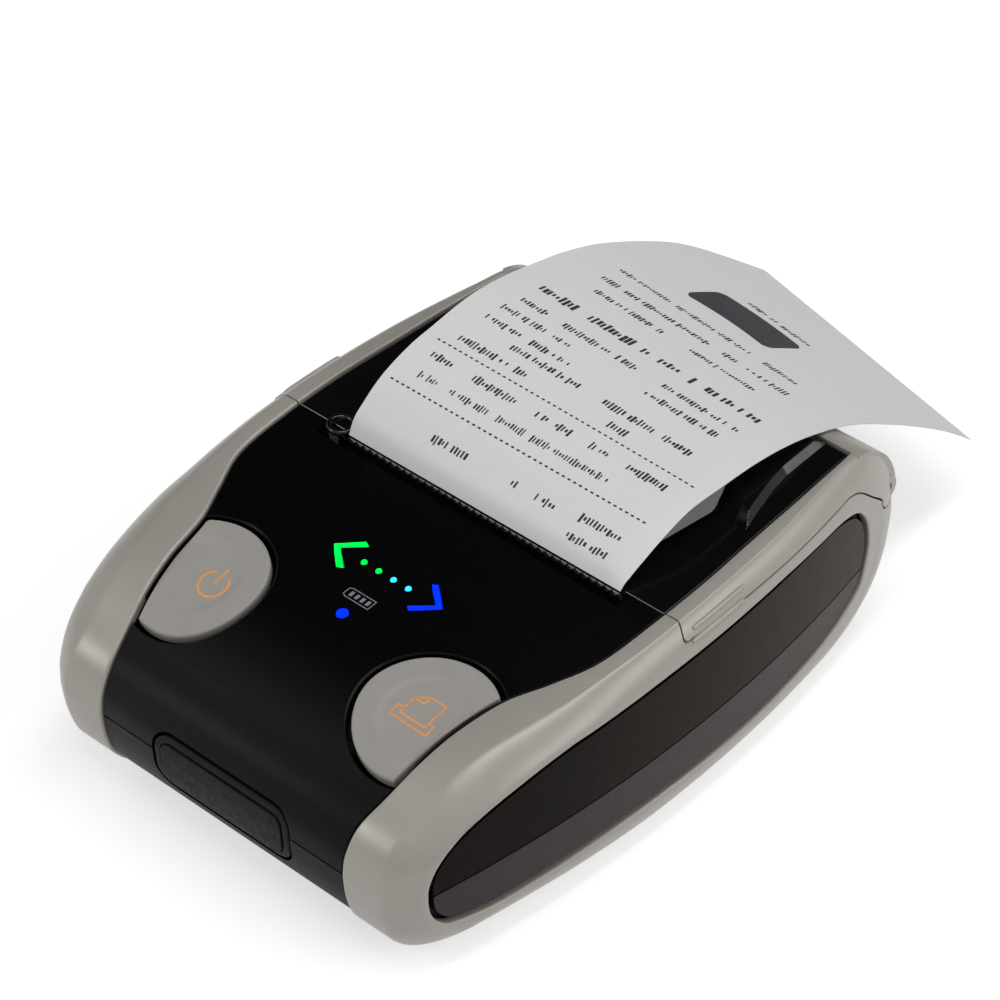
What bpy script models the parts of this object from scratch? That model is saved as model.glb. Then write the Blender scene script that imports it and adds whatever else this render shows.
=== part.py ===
"""Portable receipt printer with a hinged paper lid, two side bumpers and a torn receipt over its lid.

Metres, +Z up. X runs across the printer, +Y to its rear, and the origin is the middle of its
footprint on the table. The body is a side profile extruded across X: a black centre band between
two grey ring-shaped bumpers, which leave an oval of the black body showing on each side.
"""

import math

import bmesh
import bpy
from mathutils import Matrix, Vector

# Overall size and the side profile
BODY_LENGTH = 0.1189
BODY_HEIGHT = 0.0387
HALF_WIDTH = 0.0453
SIDE_BOW = 0.0066
SIDE_DRAFT = 0.0009
SEAM_HEIGHT = 0.413437 * BODY_HEIGHT
FIT = 0.0003
OVERRUN = 0.002
WELD = 0.000003
HALF_STATIONS = 24

# Rows from the front seam to the rear seam: length and height of the outer profile, half-width of
# the black band there, then length and height of the side opening. Shares of BODY_LENGTH,
# BODY_HEIGHT and HALF_WIDTH.
UPPER_ROW_SHARES = (
    (0.000, 0.413, 0.572, 0.0325, 0.430),
    (0.005, 0.517, 0.574, 0.0345, 0.512),
    (0.027, 0.628, 0.583, 0.050, 0.590),
    (0.066, 0.711, 0.609, 0.084, 0.655),
    (0.119, 0.811, 0.640, 0.130, 0.720),
    (0.173, 0.873, 0.667, 0.180, 0.762),
    (0.245, 0.904, 0.704, 0.244, 0.803),
    (0.303, 0.920, 0.770, 0.311, 0.817),
    (0.370, 0.946, 0.838, 0.378, 0.827),
    (0.471, 0.969, 0.856, 0.471, 0.838),
    (0.572, 0.982, 0.856, 0.572, 0.846),
    (0.673, 0.990, 0.841, 0.673, 0.853),
    (0.774, 0.997, 0.828, 0.757, 0.855),
    (0.849, 1.000, 0.815, 0.824, 0.845),
    (0.908, 0.990, 0.803, 0.870, 0.791),
    (0.955, 0.915, 0.795, 0.900, 0.685),
    (0.986, 0.765, 0.795, 0.913, 0.556),
    (1.000, 0.540, 0.795, 0.914, 0.465),
)
LOWER_ROW_SHARES = (
    (0.000, 0.413, 0.572, 0.0325, 0.430),
    (0.005, 0.284, 0.572, 0.0370, 0.345),
    (0.020, 0.160, 0.574, 0.053, 0.310),
    (0.055, 0.052, 0.574, 0.080, 0.253),
    (0.118, 0.000, 0.585, 0.135, 0.212),
    (0.202, 0.000, 0.618, 0.219, 0.194),
    (0.336, 0.000, 0.684, 0.353, 0.186),
    (0.505, 0.000, 0.751, 0.496, 0.181),
    (0.673, 0.000, 0.795, 0.639, 0.181),
    (0.824, 0.000, 0.795, 0.740, 0.196),
    (0.904, 0.052, 0.795, 0.807, 0.217),
    (0.963, 0.176, 0.795, 0.858, 0.258),
    (0.992, 0.349, 0.795, 0.900, 0.331),
    (1.000, 0.540, 0.795, 0.914, 0.465),
)

# Bumper skins and the black shells under them
BUMPER_WALL = 0.0015
BUMPER_CORNER_WIDTH = 0.0055
BUMPER_CORNER_DEPTH = 0.004
CORNER_DEPTH_SHARE = 0.68
CORNER_WIDTH_SHARE = 0.75
CORNER_TURNS = 3
SHELL_WALL = 0.0018
BAND_PROUD_GAP = 0.0004
INLAY_DEPTH = 0.0011

# Lid, hinged at the rear
LID_FRONT = -0.010513 * BODY_LENGTH
LID_EDGE_HEIGHT = 0.914729 * BODY_HEIGHT
LID_TOP_CLEAR = 0.008
LID_REAR_BAR_WIDTH = 0.0083
HINGE_INSET = 0.00365
HINGE_Y = BODY_LENGTH / 2 - HINGE_INSET
LID_REAR_BAR_FRONT = HINGE_Y - LID_REAR_BAR_WIDTH
HINGE_Z = 0.695090 * BODY_HEIGHT
HINGE_BARREL_RADIUS = 0.0026
HINGE_BARREL_END_INSET = 0.0068
HINGE_BARREL_HALF = HALF_WIDTH - HINGE_BARREL_END_INSET
LID_BAR_SINK = 0.0002
HINGE_LIP_ANGLE = math.radians(30)
LID_OPENING_ANGLE = math.radians(70)
LIP_SPARE_ANGLE = math.radians(6)
HINGE_PIN_RADIUS = 0.001
PIN_CLEARANCE = 0.0002
EAR_INNER = 0.452539 * HALF_WIDTH
EAR_WIDTH = 0.005
EAR_RADIUS = 0.0023
EAR_HEEL_DROP = 0.0074
KNUCKLE_REACH = 0.005
# Lower edge of each lid wing as it turns down to the hinge: shares of the drop from the long
# straight edge to the barrel.
WING_EDGE_SHARES = ((0.0, 0.0), (0.30, 0.13), (0.64, 0.54), (0.90, 0.85))
WING_EDGE_RUN = 0.100084 * BODY_LENGTH
LID_SKIN = 0.0019
WING_CLEARANCE = 0.00045
HUMP_HEIGHT = 0.0036
HUMP_FRONT_PLATEAU = 0.584989 * HALF_WIDTH
HUMP_FRONT_FOOT = 0.651214 * HALF_WIDTH
HUMP_REAR_PLATEAU = 0.739514 * HALF_WIDTH
HUMP_REAR_FOOT = 0.794702 * HALF_WIDTH
# Rows along the lid: length share, height share of the narrow front hump and of the wide rear one.
HUMP_ROW_SHARES = (
    (0.00, 0.00, 0.00),
    (0.12, 0.00, 0.00),
    (0.30, 0.42, 0.00),
    (0.48, 0.90, 0.00),
    (0.53, 0.96, 0.38),
    (0.60, 1.00, 0.72),
    (0.70, 1.00, 0.97),
    (0.80, 0.98, 0.98),
    (0.89, 0.72, 0.72),
    (0.96, 0.28, 0.28),
    (1.00, 0.06, 0.06),
)

# Paper, roll and receipt
PAPER_WIDTH = 1.269316 * HALF_WIDTH
PAPER_CENTRE = 0.038631 * HALF_WIDTH
PAPER_THICKNESS = 0.0002
# The roll fills the bay under the lid: shares of the bay's length and of the body's height.
BAY_LENGTH = LID_REAR_BAR_FRONT - LID_FRONT
ROLL_LENGTH_SHARE = 0.315897
ROLL_HEIGHT_SHARE = 0.397933
ROLL_RADIUS = min(ROLL_LENGTH_SHARE * BAY_LENGTH, ROLL_HEIGHT_SHARE * BODY_HEIGHT)
ROLL_PLACE_SHARE = 0.569231
ROLL_Y = LID_FRONT + ROLL_PLACE_SHARE * BAY_LENGTH
CORE_RADIUS = 0.0064
CORE_WALL = 0.0012
TRAY_WALL = 0.0012
TRAY_CLEARANCE = 0.0008
TRAY_LIP_SHARE = 0.36036
TRAY_END_GAP = 0.0014
# Points of the receipt's two long edges: length back from the slot and height above the slot,
# as shares of RECEIPT_REACH and RECEIPT_RISE.
RECEIPT_REACH = 0.910849 * BODY_LENGTH
RECEIPT_RISE = 0.012
SLOT_HEIGHT = 0.966408 * BODY_HEIGHT
RECEIPT_LEFT_SHARES = (
    (0.000, 0.00), (0.012, 0.22), (0.032, 0.38), (0.065, 0.59), (0.100, 0.73), (0.141, 0.84),
    (0.184, 0.90), (0.233, 0.97), (0.283, 1.00), (0.341, 0.96), (0.378, 0.90), (0.429, 0.81),
    (0.481, 0.70), (0.558, 0.47), (0.635, 0.15), (0.699, -0.15), (0.765, -0.50), (0.832, -0.93),
    (0.919, -1.54), (1.000, -2.12),
)
RECEIPT_RIGHT_SHARES = (
    (0.000, 0.00), (0.016, 0.16), (0.050, 0.29), (0.098, 0.44), (0.154, 0.55), (0.226, 0.53),
    (0.299, 0.49), (0.373, 0.38), (0.451, 0.18), (0.530, -0.10), (0.614, -0.53), (0.700, -1.02),
    (0.790, -1.59), (0.862, -2.12),
)
RECEIPT_ROWS = 22

# Platen, gears and motor
PLATEN_SETBACK = 0.00365
PLATEN_Y = LID_FRONT + PLATEN_SETBACK
PLATEN_LID_GAP = 0.0004658
PLATEN_RADIUS = 0.004
SHAFT_RADIUS = 0.0013
BUSH_RADIUS = 0.0023
BUSH_FLANGE_RADIUS = 0.0029
BUSH_FLANGE = 0.0005
ARM_THICKNESS = 0.0017
ARM_RADIUS = 0.0034
ARM_GAP = 0.0012
GEAR_MODULE = 0.0005
GEAR_WIDTH = 0.0025
GEAR_GAP = 0.0004
PLATEN_TEETH = 15
REDUCTION_TEETH = 30
PINION_TEETH = 12
ADDENDUM_SHARE = 0.80
DEDENDUM_SHARE = 1.25
TOOTH_FOOT_SHARE = 0.56
TOOTH_TIP_SHARE = 0.20
STUD_RADIUS = 0.0012
MOTOR_RADIUS = 0.0063
MOTOR_LENGTH = 0.019
MOTOR_SHAFT_RADIUS = 0.0008
MOTOR_SHAFT_REACH = 0.004
PLATE_THICKNESS = 0.0010
PLATE_MARGIN = 0.0045

# Print head and tear bar
HEAD_FACE_GAP = 0.0006
HEAD_MARGIN = 0.00125
HEAD_WIDTH = PAPER_WIDTH + 2 * HEAD_MARGIN
HEAD_HEIGHT = 0.0075
HEAD_THICKNESS = 0.0010
HEATSINK_THICKNESS = 0.0020
HEAD_LIFT = 0.0035
HEAD_POST_WIDTH = 0.0045
HEAD_SPRING_DEPTH = 0.0032
HEAD_SPRING_SHEET = 0.0004
HEAD_SPRING_WIDTH = 0.016
HEAD_SPRING_POINTS = 7
HEAD_SPRING_HALF_SHARE = 0.45
BRACKET_THICKNESS = 0.0012
SLOT_OPENING = 0.00325
SLOT_FRONT = LID_FRONT - SLOT_OPENING
SLOT_END_GAP = 0.00025
SLOT_HALF = PAPER_CENTRE + HEAD_WIDTH / 2 + SLOT_END_GAP
SLOT_DEPTH = 0.0055
TEAR_THICKNESS = 0.0005
TEAR_PITCH = 0.0015
TEAR_TOOTH = 0.0007
TEAR_HEIGHT = 0.0030

# Buttons
BUTTON_X = 0.534216 * HALF_WIDTH
BUTTON_Y = -0.327586 * BODY_LENGTH
BUTTON_RADIUS = 0.0114
BUTTON_GAP = 0.0009
BUTTON_WALL = 0.0018
BUTTON_RISE = 0.0002
BUTTON_TRAVEL = 0.0006
DISH_RADIUS = 0.0074
DISH_DEPTH = 0.0004
DISH_CUTTER_SHARE = 1.15
BUTTON_STEM_RADIUS = 0.002
BUTTON_SIDES = 36
SWITCH_SIDE = 0.0045
SWITCH_HEIGHT = 0.0018
SWITCH_PLUNGER_RADIUS = 0.0012
SWITCH_PLUNGER_HEIGHT = 0.0006

# Indicator lights in the top
LIGHT_DEPTH = 0.0030
LIGHT_GAP = 0.00015
LIGHT_STROKE = 0.0009
MITRE_LEAST_SHARE = 0.35
CHEVRON_Y = -0.180404 * BODY_LENGTH
CHEVRON_POINT_X = 0.253863 * HALF_WIDTH
CHEVRON_RUN = 0.0038
CHEVRON_RISE = 0.0033
CHEVRON_MITRE_SHARE = 1.3
DOT_RADIUS = 0.0005
DOT_FIRST_X = -0.110375 * HALF_WIDTH
DOT_STEP = 0.069095 * HALF_WIDTH
DOT_COUNT = 4
LAMP_Y = -0.265349 * BODY_LENGTH
LAMP_RADIUS = 0.001

# Boards, battery, sockets and the rest inside
KEY_BOARD_HALF = 0.706402 * HALF_WIDTH
KEY_BOARD_INSET = 0.01265
KEY_BOARD_FRONT = KEY_BOARD_INSET - BODY_LENGTH / 2
KEY_BOARD_RIBBON_GAP = 0.0011
KEY_BOARD_LIFT = 0.0046
BOARD_THICKNESS = 0.0012
MAIN_BOARD_TOP = 0.558140 * BODY_HEIGHT
KEY_BOARD_TOP = MAIN_BOARD_TOP + KEY_BOARD_LIFT
MAIN_BOARD_HALF = 0.618102 * HALF_WIDTH
MAIN_BOARD_TONGUE_HALF = 0.335541 * HALF_WIDTH
MAIN_BOARD_INSET = 0.00435
MAIN_BOARD_FRONT = MAIN_BOARD_INSET - BODY_LENGTH / 2
MAIN_BOARD_TONGUE = 0.0086
MAIN_BOARD_SHOULDER = MAIN_BOARD_FRONT + MAIN_BOARD_TONGUE
BATTERY_MOTOR_GAP = 0.0021
BATTERY_HALF = 0.607064 * HALF_WIDTH
BATTERY_INSET = 0.01695
BATTERY_FRONT = BATTERY_INSET - BODY_LENGTH / 2
BATTERY_TOP = 0.490956 * BODY_HEIGHT
BATTERY_EDGE = 0.0020
DOOR_HALF = 0.353201 * HALF_WIDTH
DOOR_FRONT = -0.340622 * BODY_LENGTH
DOOR_REAR = -0.105130 * BODY_LENGTH
DOOR_EDGE = 0.0012
DOOR_TRAVEL = 0.02
SOCKET_TOP_GAP = 0.0003
SOCKET_INSET = 0.00365
SOCKET_FACE_Y = SOCKET_INSET - BODY_LENGTH / 2
DC_X = -0.150110 * HALF_WIDTH
DC_WIDTH = 0.009
DC_LENGTH = 0.0115
DC_HEIGHT = 0.0085
DC_BORE_RADIUS = 0.0028
DC_PIN_RADIUS = 0.0008
DC_BORE_DEPTH = 0.0085
USB_X = 0.132450 * HALF_WIDTH
USB_WIDTH = 0.0088
USB_LENGTH = 0.0092
USB_HEIGHT = 0.0034
USB_WALL = 0.0005
USB_DEPTH = 0.0065
USB_TONGUE = 0.0008
PORT_HALF = 0.322296 * HALF_WIDTH
PORT_BOTTOM = 0.240310 * BODY_HEIGHT
PORT_TOP = 0.524548 * BODY_HEIGHT
PORT_CORNER = 0.0036
PORT_SKIN = 0.0022
PORT_PANEL_MARGIN = 0.0016
PORT_PANEL_RISE = 0.0004
BUZZER_RADIUS = 0.0045
BUZZER_HEIGHT = 0.0028
BUZZER_X = 0.463576 * HALF_WIDTH
BUZZER_INSET = 0.0015
SENSOR_WIDTH = 0.006
SENSOR_LENGTH = 0.0026
SENSOR_HEIGHT_SHARE = 0.234234
SENSOR_X = 0.264901 * HALF_WIDTH
SENSOR_OVERHANG = 0.001
RIBBON_WIDTH = 0.397351 * HALF_WIDTH
RIBBON_THICKNESS = 0.0004
RIBBON_DROP = 0.0035

# Screws and feet
SCREW_SPOT_SHARES = ((0.430, -0.426), (0.618, 0.4434))
SCREW_BOSS_RADIUS = 0.0030
SCREW_HEAD_RADIUS = 0.0022
SCREW_HEAD_HEIGHT = 0.0013
SCREW_SHANK_RADIUS = 0.0012
SCREW_CLEARANCE = 0.0004
SCREW_SEAT = 0.0030
SCREW_REAR_SEAT = 0.219638 * BODY_HEIGHT
SCREW_GRIP = 0.0075
SCREW_REAR_END_GAP = 0.0023
REAR_BOSS_DROP = 0.0018
REAR_BOSS_TOP = HINGE_Z - HINGE_BARREL_RADIUS - REAR_BOSS_DROP
FOOT_RADIUS = 0.004
FOOT_HEIGHT = 0.0010
FOOT_SPOT_SHARES = ((0.470, -0.345), (0.680, 0.285))
ROUND_SIDES = 24
SMALL_SIDES = 12


def clear_scene():
    for obj in list(bpy.data.objects):
        bpy.data.objects.remove(obj, do_unlink=True)


def material(name, color, roughness, metallic=0.0):
    mat = bpy.data.materials.get(name)
    if mat is None:
        mat = bpy.data.materials.new(name)
        mat.use_nodes = True
        shader = mat.node_tree.nodes["Principled BSDF"]
        shader.inputs["Base Color"].default_value = (*color, 1.0)
        shader.inputs["Roughness"].default_value = roughness
        shader.inputs["Metallic"].default_value = metallic
    return mat


def black_plastic():
    return material("black_plastic", (0.012, 0.012, 0.014), 0.35)


def gloss_black_plastic():
    return material("gloss_black_plastic", (0.010, 0.010, 0.011), 0.15)


def grey_plastic():
    return material("warm_grey_plastic", (0.34, 0.31, 0.28), 0.45)


def button_plastic():
    return material("button_grey_plastic", (0.31, 0.29, 0.26), 0.50)


def dark_rubber():
    return material("dark_rubber", (0.030, 0.028, 0.028), 0.75)


def steel():
    return material("steel", (0.55, 0.55, 0.56), 0.35, 1.0)


def white_plastic():
    return material("white_plastic", (0.70, 0.70, 0.68), 0.45)


def board_green():
    return material("board_green", (0.03, 0.16, 0.07), 0.5)


def paper_white():
    return material("paper_white", (0.82, 0.84, 0.83), 0.8)


# Placing meshes


def add_object(name, mesh, mat=None):
    obj = bpy.data.objects.new(name, mesh)
    bpy.context.scene.collection.objects.link(obj)
    if mat is not None:
        mesh.materials.append(mat)
    mesh.shade_smooth()
    mesh.set_sharp_from_angle(angle=math.radians(35))
    return obj


def mesh_from(name, points, faces, centre=(0.0, 0.0, 0.0)):
    """Mesh of the points, which are in world places, stored about its object's centre."""
    mesh = bpy.data.meshes.new(name)
    base = Vector(centre)
    mesh.from_pydata([Vector(p) - base for p in points], [], faces)
    build = bmesh.new()
    build.from_mesh(mesh)
    bmesh.ops.remove_doubles(build, verts=build.verts, dist=WELD)
    bmesh.ops.recalc_face_normals(build, faces=build.faces)
    build.to_mesh(mesh)
    build.free()
    return mesh


def solid(name, points, faces, mat, centre=(0.0, 0.0, 0.0)):
    obj = add_object(name, mesh_from(name, points, faces, centre), mat)
    obj.location = centre
    return obj


def helper(obj):
    """Marks a cutter or other guide, which is no piece of the printer."""
    obj.hide_render = True
    obj.display_type = "WIRE"
    return obj


def combine(obj, other, operation):
    """Adds a Boolean of the other object, which becomes a helper."""
    step = obj.modifiers.new(operation.lower(), "BOOLEAN")
    step.operation = operation
    step.object = helper(other)
    return obj


def cut(obj, other):
    return combine(obj, other, "DIFFERENCE")


def join(obj, other):
    return combine(obj, other, "UNION")


def keep(obj, other):
    return combine(obj, other, "INTERSECT")


# Simple solids


def rings_to_faces(count, sides, closed=False):
    """Quads between rings of equal length, with end caps unless the rings close on themselves."""
    faces = []
    for ring in range(count if closed else count - 1):
        first = ring * sides
        second = ((ring + 1) % count) * sides
        for side in range(sides):
            after = (side + 1) % sides
            faces.append((first + side, first + after, second + after, second + side))
    if not closed:
        faces.append(tuple(range(sides)))
        faces.append(tuple(range((count - 1) * sides, count * sides)))
    return faces


def prism_x(name, outline, low, high, mat=None, centre=(0.0, 0.0, 0.0)):
    """Outline of (y, z) points extruded from low to high along X."""
    points = [(x, y, z) for x in (low, high) for y, z in outline]
    return solid(name, points, rings_to_faces(2, len(outline)), mat, centre)


def prism_z(name, outline, low, high, mat=None, centre=(0.0, 0.0, 0.0)):
    """Outline of (x, y) points extruded from low to high along Z."""
    points = [(x, y, z) for z in (low, high) for x, y in outline]
    return solid(name, points, rings_to_faces(2, len(outline)), mat, centre)


def box(name, low, high, mat=None, centre=(0.0, 0.0, 0.0)):
    outline = ((low[0], low[1]), (high[0], low[1]), (high[0], high[1]), (low[0], high[1]))
    return prism_z(name, outline, low[2], high[2], mat, centre)


def circle(y, z, radius, sides, start=0.0, end=2 * math.pi, whole=True):
    """Points round a circle; an arc also holds its last point."""
    steps = sides if whole else sides + 1
    turn = (end - start) / sides
    return [
        (y + radius * math.cos(start + turn * k), z + radius * math.sin(start + turn * k))
        for k in range(steps)
    ]


def turned_x(name, y, z, profile, sides, mat=None, centre=None):
    """Closed profile of (x, radius) points turned about the line y, z along X."""
    count = len(profile)
    points = []
    for k in range(sides):
        angle = 2 * math.pi * k / sides
        for x, radius in profile:
            points.append((x, y + radius * math.cos(angle), z + radius * math.sin(angle)))
    faces = rings_to_faces(sides, count, closed=True)
    return solid(name, points, faces, mat, centre or (0.0, y, z))


def rod_x(name, y, z, radius, low, high, sides, mat=None, centre=None):
    return prism_x(name, circle(y, z, radius, sides), low, high, mat, centre or (0.0, y, z))


def rod_z(name, x, y, radius, low, high, sides, mat=None):
    return prism_z(name, circle(x, y, radius, sides), low, high, mat, (x, y, 0.0))


# The side profile and what is worked out from it


def spline(rows, samples):
    """Points at even steps of row number on a smooth curve through the rows."""
    last = len(rows) - 1
    found = []
    for k in range(samples + 1):
        place = last * k / samples
        row = min(int(place), last - 1)
        t = place - row
        before = rows[max(row - 1, 0)]
        after = rows[min(row + 2, last)]
        found.append(
            tuple(
                0.5
                * (
                    2 * b
                    + (c - a) * t
                    + (2 * a - 5 * b + 4 * c - d) * t * t
                    + (3 * b - a - 3 * c + d) * t * t * t
                )
                for a, b, c, d in zip(before, rows[row], rows[row + 1], after)
            )
        )
    return found


def place_row(row):
    length, height, half, open_length, open_height = row
    return (
        (length - 0.5) * BODY_LENGTH,
        max(height, 0.0) * BODY_HEIGHT,
        half * HALF_WIDTH,
        (open_length - 0.5) * BODY_LENGTH,
        open_height * BODY_HEIGHT,
    )


def stations():
    """Rows round the whole profile: over the top from front to rear, then back underneath."""
    upper = [place_row(row) for row in spline(UPPER_ROW_SHARES, HALF_STATIONS)]
    lower = [place_row(row) for row in spline(LOWER_ROW_SHARES, HALF_STATIONS)]
    return upper + lower[-2:0:-1]


def inward_normals(loop):
    """Unit normals that point into a loop of (y, z) points that runs over the top to the rear."""
    found = []
    for k in range(len(loop)):
        before = loop[k - 1]
        after = loop[(k + 1) % len(loop)]
        along = Vector((after[0] - before[0], after[1] - before[1])).normalized()
        found.append((along.y, -along.x))
    return found


STATIONS = stations()
OUTER = [(row[0], row[1]) for row in STATIONS]
OUTER_IN = inward_normals(OUTER)
OPENING = [(row[3], row[4]) for row in STATIONS]
OPENING_IN = inward_normals(OPENING)


def outer_at(k, depth):
    return (OUTER[k][0] + OUTER_IN[k][0] * depth, OUTER[k][1] + OUTER_IN[k][1] * depth)


def opening_at(k, depth):
    return (OPENING[k][0] + OPENING_IN[k][0] * depth, OPENING[k][1] + OPENING_IN[k][1] * depth)


def band_depth(k, depth):
    """Depth of the black band: proud gap under the bumpers' level, but flush where it rests."""
    return 0.0 if STATIONS[k][1] <= 0.0 and depth == BAND_PROUD_GAP else depth


def side_x(y, z):
    """Half-width of the bumper's side at a place: bowed along Y and drawn in towards the bottom."""
    bow = SIDE_BOW * (2 * y / BODY_LENGTH) ** 2
    draft = SIDE_DRAFT * (1 - z / BODY_HEIGHT)
    return HALF_WIDTH - bow - draft


def profile_height(y):
    """Height of the top profile at y."""
    top = [row for row in STATIONS[: HALF_STATIONS + 1] if row[1] > SEAM_HEIGHT]
    for first, second in zip(top, top[1:]):
        if first[0] <= y <= second[0]:
            share = (y - first[0]) / (second[0] - first[0])
            return first[1] + share * (second[1] - first[1])
    return top[0][1] if y < top[0][0] else top[-1][1]


def band_half(y):
    """Half-width of the black band on the top at y."""
    top = [row for row in STATIONS[: HALF_STATIONS + 1] if row[1] > SEAM_HEIGHT]
    for first, second in zip(top, top[1:]):
        if first[0] <= y <= second[0]:
            share = (y - first[0]) / (second[0] - first[0])
            return first[2] + share * (second[2] - first[2])
    return top[0][2] if y < top[0][0] else top[-1][2]


def corner_depth(k):
    """Depth of the bumper's rounded corner, less where the side opening comes near the outline."""
    return min(BUMPER_CORNER_DEPTH, CORNER_DEPTH_SHARE * math.dist(OUTER[k], OPENING[k]))


def corner_width(k):
    """Width of the bumper's rounded corner, less where the bumper itself is narrow."""
    room = side_x(*outer_at(k, corner_depth(k))) - STATIONS[k][2]
    return min(BUMPER_CORNER_WIDTH, CORNER_WIDTH_SHARE * room)


def bumper_section(k, margin):
    """Closed section of a bumper at station k, as (x, y, z), grown all over by the margin."""
    wall_out = -margin
    wall_in = BUMPER_WALL + margin
    half = STATIONS[k][2] + FIT / 2 - margin
    deep = corner_depth(k)
    wide = corner_width(k)
    side = side_x(*outer_at(k, deep)) + margin
    points = [(half, *outer_at(k, wall_out))]
    for turn in range(CORNER_TURNS + 1):
        angle = 0.5 * math.pi * turn / CORNER_TURNS
        x = side - wide * (1 - math.sin(angle))
        points.append((x, *outer_at(k, wall_out + deep * (1 - math.cos(angle)))))
    lip_y, lip_z = opening_at(k, margin)
    lip = side_x(lip_y, lip_z) + margin
    thick = wall_in - wall_out
    points.append((lip, lip_y, lip_z))
    points.append((lip - thick, lip_y, lip_z))
    for turn in range(CORNER_TURNS, -1, -1):
        angle = 0.5 * math.pi * turn / CORNER_TURNS
        x = side - thick - (wide - thick) * (1 - math.sin(angle))
        inner_depth = wall_in + (deep - thick) * (1 - math.cos(angle))
        points.append((x, *outer_at(k, inner_depth)))
    points.append((half, *outer_at(k, wall_in)))
    return points


def bumper_ring(name, side, mat=None, margin=0.0):
    """Ring-shaped skin round one side; side is -1 for the left and 1 for the right."""
    sections = [bumper_section(k, margin) for k in range(len(STATIONS))]
    points = [(side * x, y, z) for section in sections for x, y, z in section]
    faces = rings_to_faces(len(sections), len(sections[0]), closed=True)
    return solid(name, points, faces, mat)


def capped_rings(name, rings, mat=None):
    """Solid through whole loops of stations, closed at each end by strips from top to bottom."""
    count = len(rings[0])
    half = count // 2
    points = [p for ring in rings for p in ring]
    faces = rings_to_faces(len(rings), count)[:-2]
    for start in (0, (len(rings) - 1) * count):
        faces.append((start, start + 1, start + count - 1))
        faces.append((start + half, start + half - 1, start + half + 1))
        for k in range(1, half - 1):
            faces.append((start + k, start + k + 1, start + count - k - 1, start + count - k))
    return solid(name, points, faces, mat)


def mirrored(rings):
    """The given rings of the right side, led by their mirror images."""
    left = [[(-x, y, z) for x, y, z in ring] for ring in reversed(rings)]
    return left + rings


def body_solid(name, wall, with_inlay, mat=None):
    """The black body under the bumpers, or its cavity where the wall is above zero."""
    step = BUMPER_WALL + FIT + wall
    count = range(len(STATIONS))
    top_depth = BAND_PROUD_GAP + wall
    under = []
    for k in count:
        under.append(side_x(*outer_at(k, corner_depth(k))) - step)
    band = [STATIONS[k][2] - FIT / 2 - wall for k in count]
    shoulder = [under[k] - (corner_width(k) - BUMPER_WALL) for k in count]
    depth = [max(corner_depth(k), step + FIT) for k in count]
    rings = [
        [(band[k], *outer_at(k, band_depth(k, top_depth))) for k in count],
        [(band[k], *outer_at(k, step)) for k in count],
        [(max(shoulder[k], band[k] + FIT), *outer_at(k, step)) for k in count],
        [(under[k], *outer_at(k, depth[k])) for k in count],
    ]
    if with_inlay:
        rings.append([(lip_x(k, FIT) - step, *opening_at(k, FIT)) for k in count])
        rings.append([(lip_x(k, FIT) - INLAY_DEPTH, *opening_at(k, FIT)) for k in count])
    return capped_rings(name, mirrored(rings), mat)


def lip_x(k, depth):
    y, z = opening_at(k, depth)
    return side_x(y, z)


def rind(name, outer_depth, inner_depth):
    """Tube of the profile between two depths, wider than the whole printer."""
    reach = HALF_WIDTH + OVERRUN
    points = []
    for k in range(len(STATIONS)):
        for x, depth in (
            (-reach, outer_depth),
            (reach, outer_depth),
            (reach, inner_depth),
            (-reach, inner_depth),
        ):
            points.append((x, *outer_at(k, depth)))
    return solid(name, points, rings_to_faces(len(STATIONS), 4, closed=True), None)


def band_solid(name, outer_depth, inset):
    """The whole black band out to a depth, narrowed by the inset on each side."""
    count = range(len(STATIONS))
    ring = [(STATIONS[k][2] - inset, *outer_at(k, outer_depth)) for k in count]
    return capped_rings(name, mirrored([ring]))


# The lid's outline


def lid_outline(margin, lip_angle):
    """(y, z) outline of the lid's side of the seam, grown by the margin; lip_angle is where it
    meets the hinge barrel at the rear."""
    top = BODY_HEIGHT + LID_TOP_CLEAR
    front = LID_FRONT - margin
    edge = LID_EDGE_HEIGHT - margin
    barrel = HINGE_BARREL_RADIUS + FIT / 2 + margin
    start_y = HINGE_Y - HINGE_BARREL_RADIUS - WING_EDGE_RUN
    drop = LID_EDGE_HEIGHT - HINGE_Z
    points = [(front, top), (front, edge)]
    for run_share, drop_share in WING_EDGE_SHARES:
        slant = margin * drop_share
        points.append((start_y + WING_EDGE_RUN * run_share - slant, edge - drop * drop_share))
    points += circle(HINGE_Y, HINGE_Z, barrel, 14, math.pi, 2 * math.pi + lip_angle, False)
    far = BODY_LENGTH / 2 + OVERRUN - HINGE_Y
    points.append((HINGE_Y + far, HINGE_Z + far * math.tan(lip_angle)))
    points.append((HINGE_Y + far, top))
    return points


def lid_space(name):
    reach = HALF_WIDTH + OVERRUN
    return prism_x(name, lid_outline(0.0, HINGE_LIP_ANGLE), -reach, reach)


def swept_lid_space(name):
    """What the body leaves free for the lid, also where its rear lip swings down as it opens."""
    reach = HALF_WIDTH + OVERRUN
    lip_angle = HINGE_LIP_ANGLE - LID_OPENING_ANGLE - LIP_SPARE_ANGLE
    return prism_x(name, lid_outline(FIT, lip_angle), -reach, reach)


# Places shared by several pieces

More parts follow.
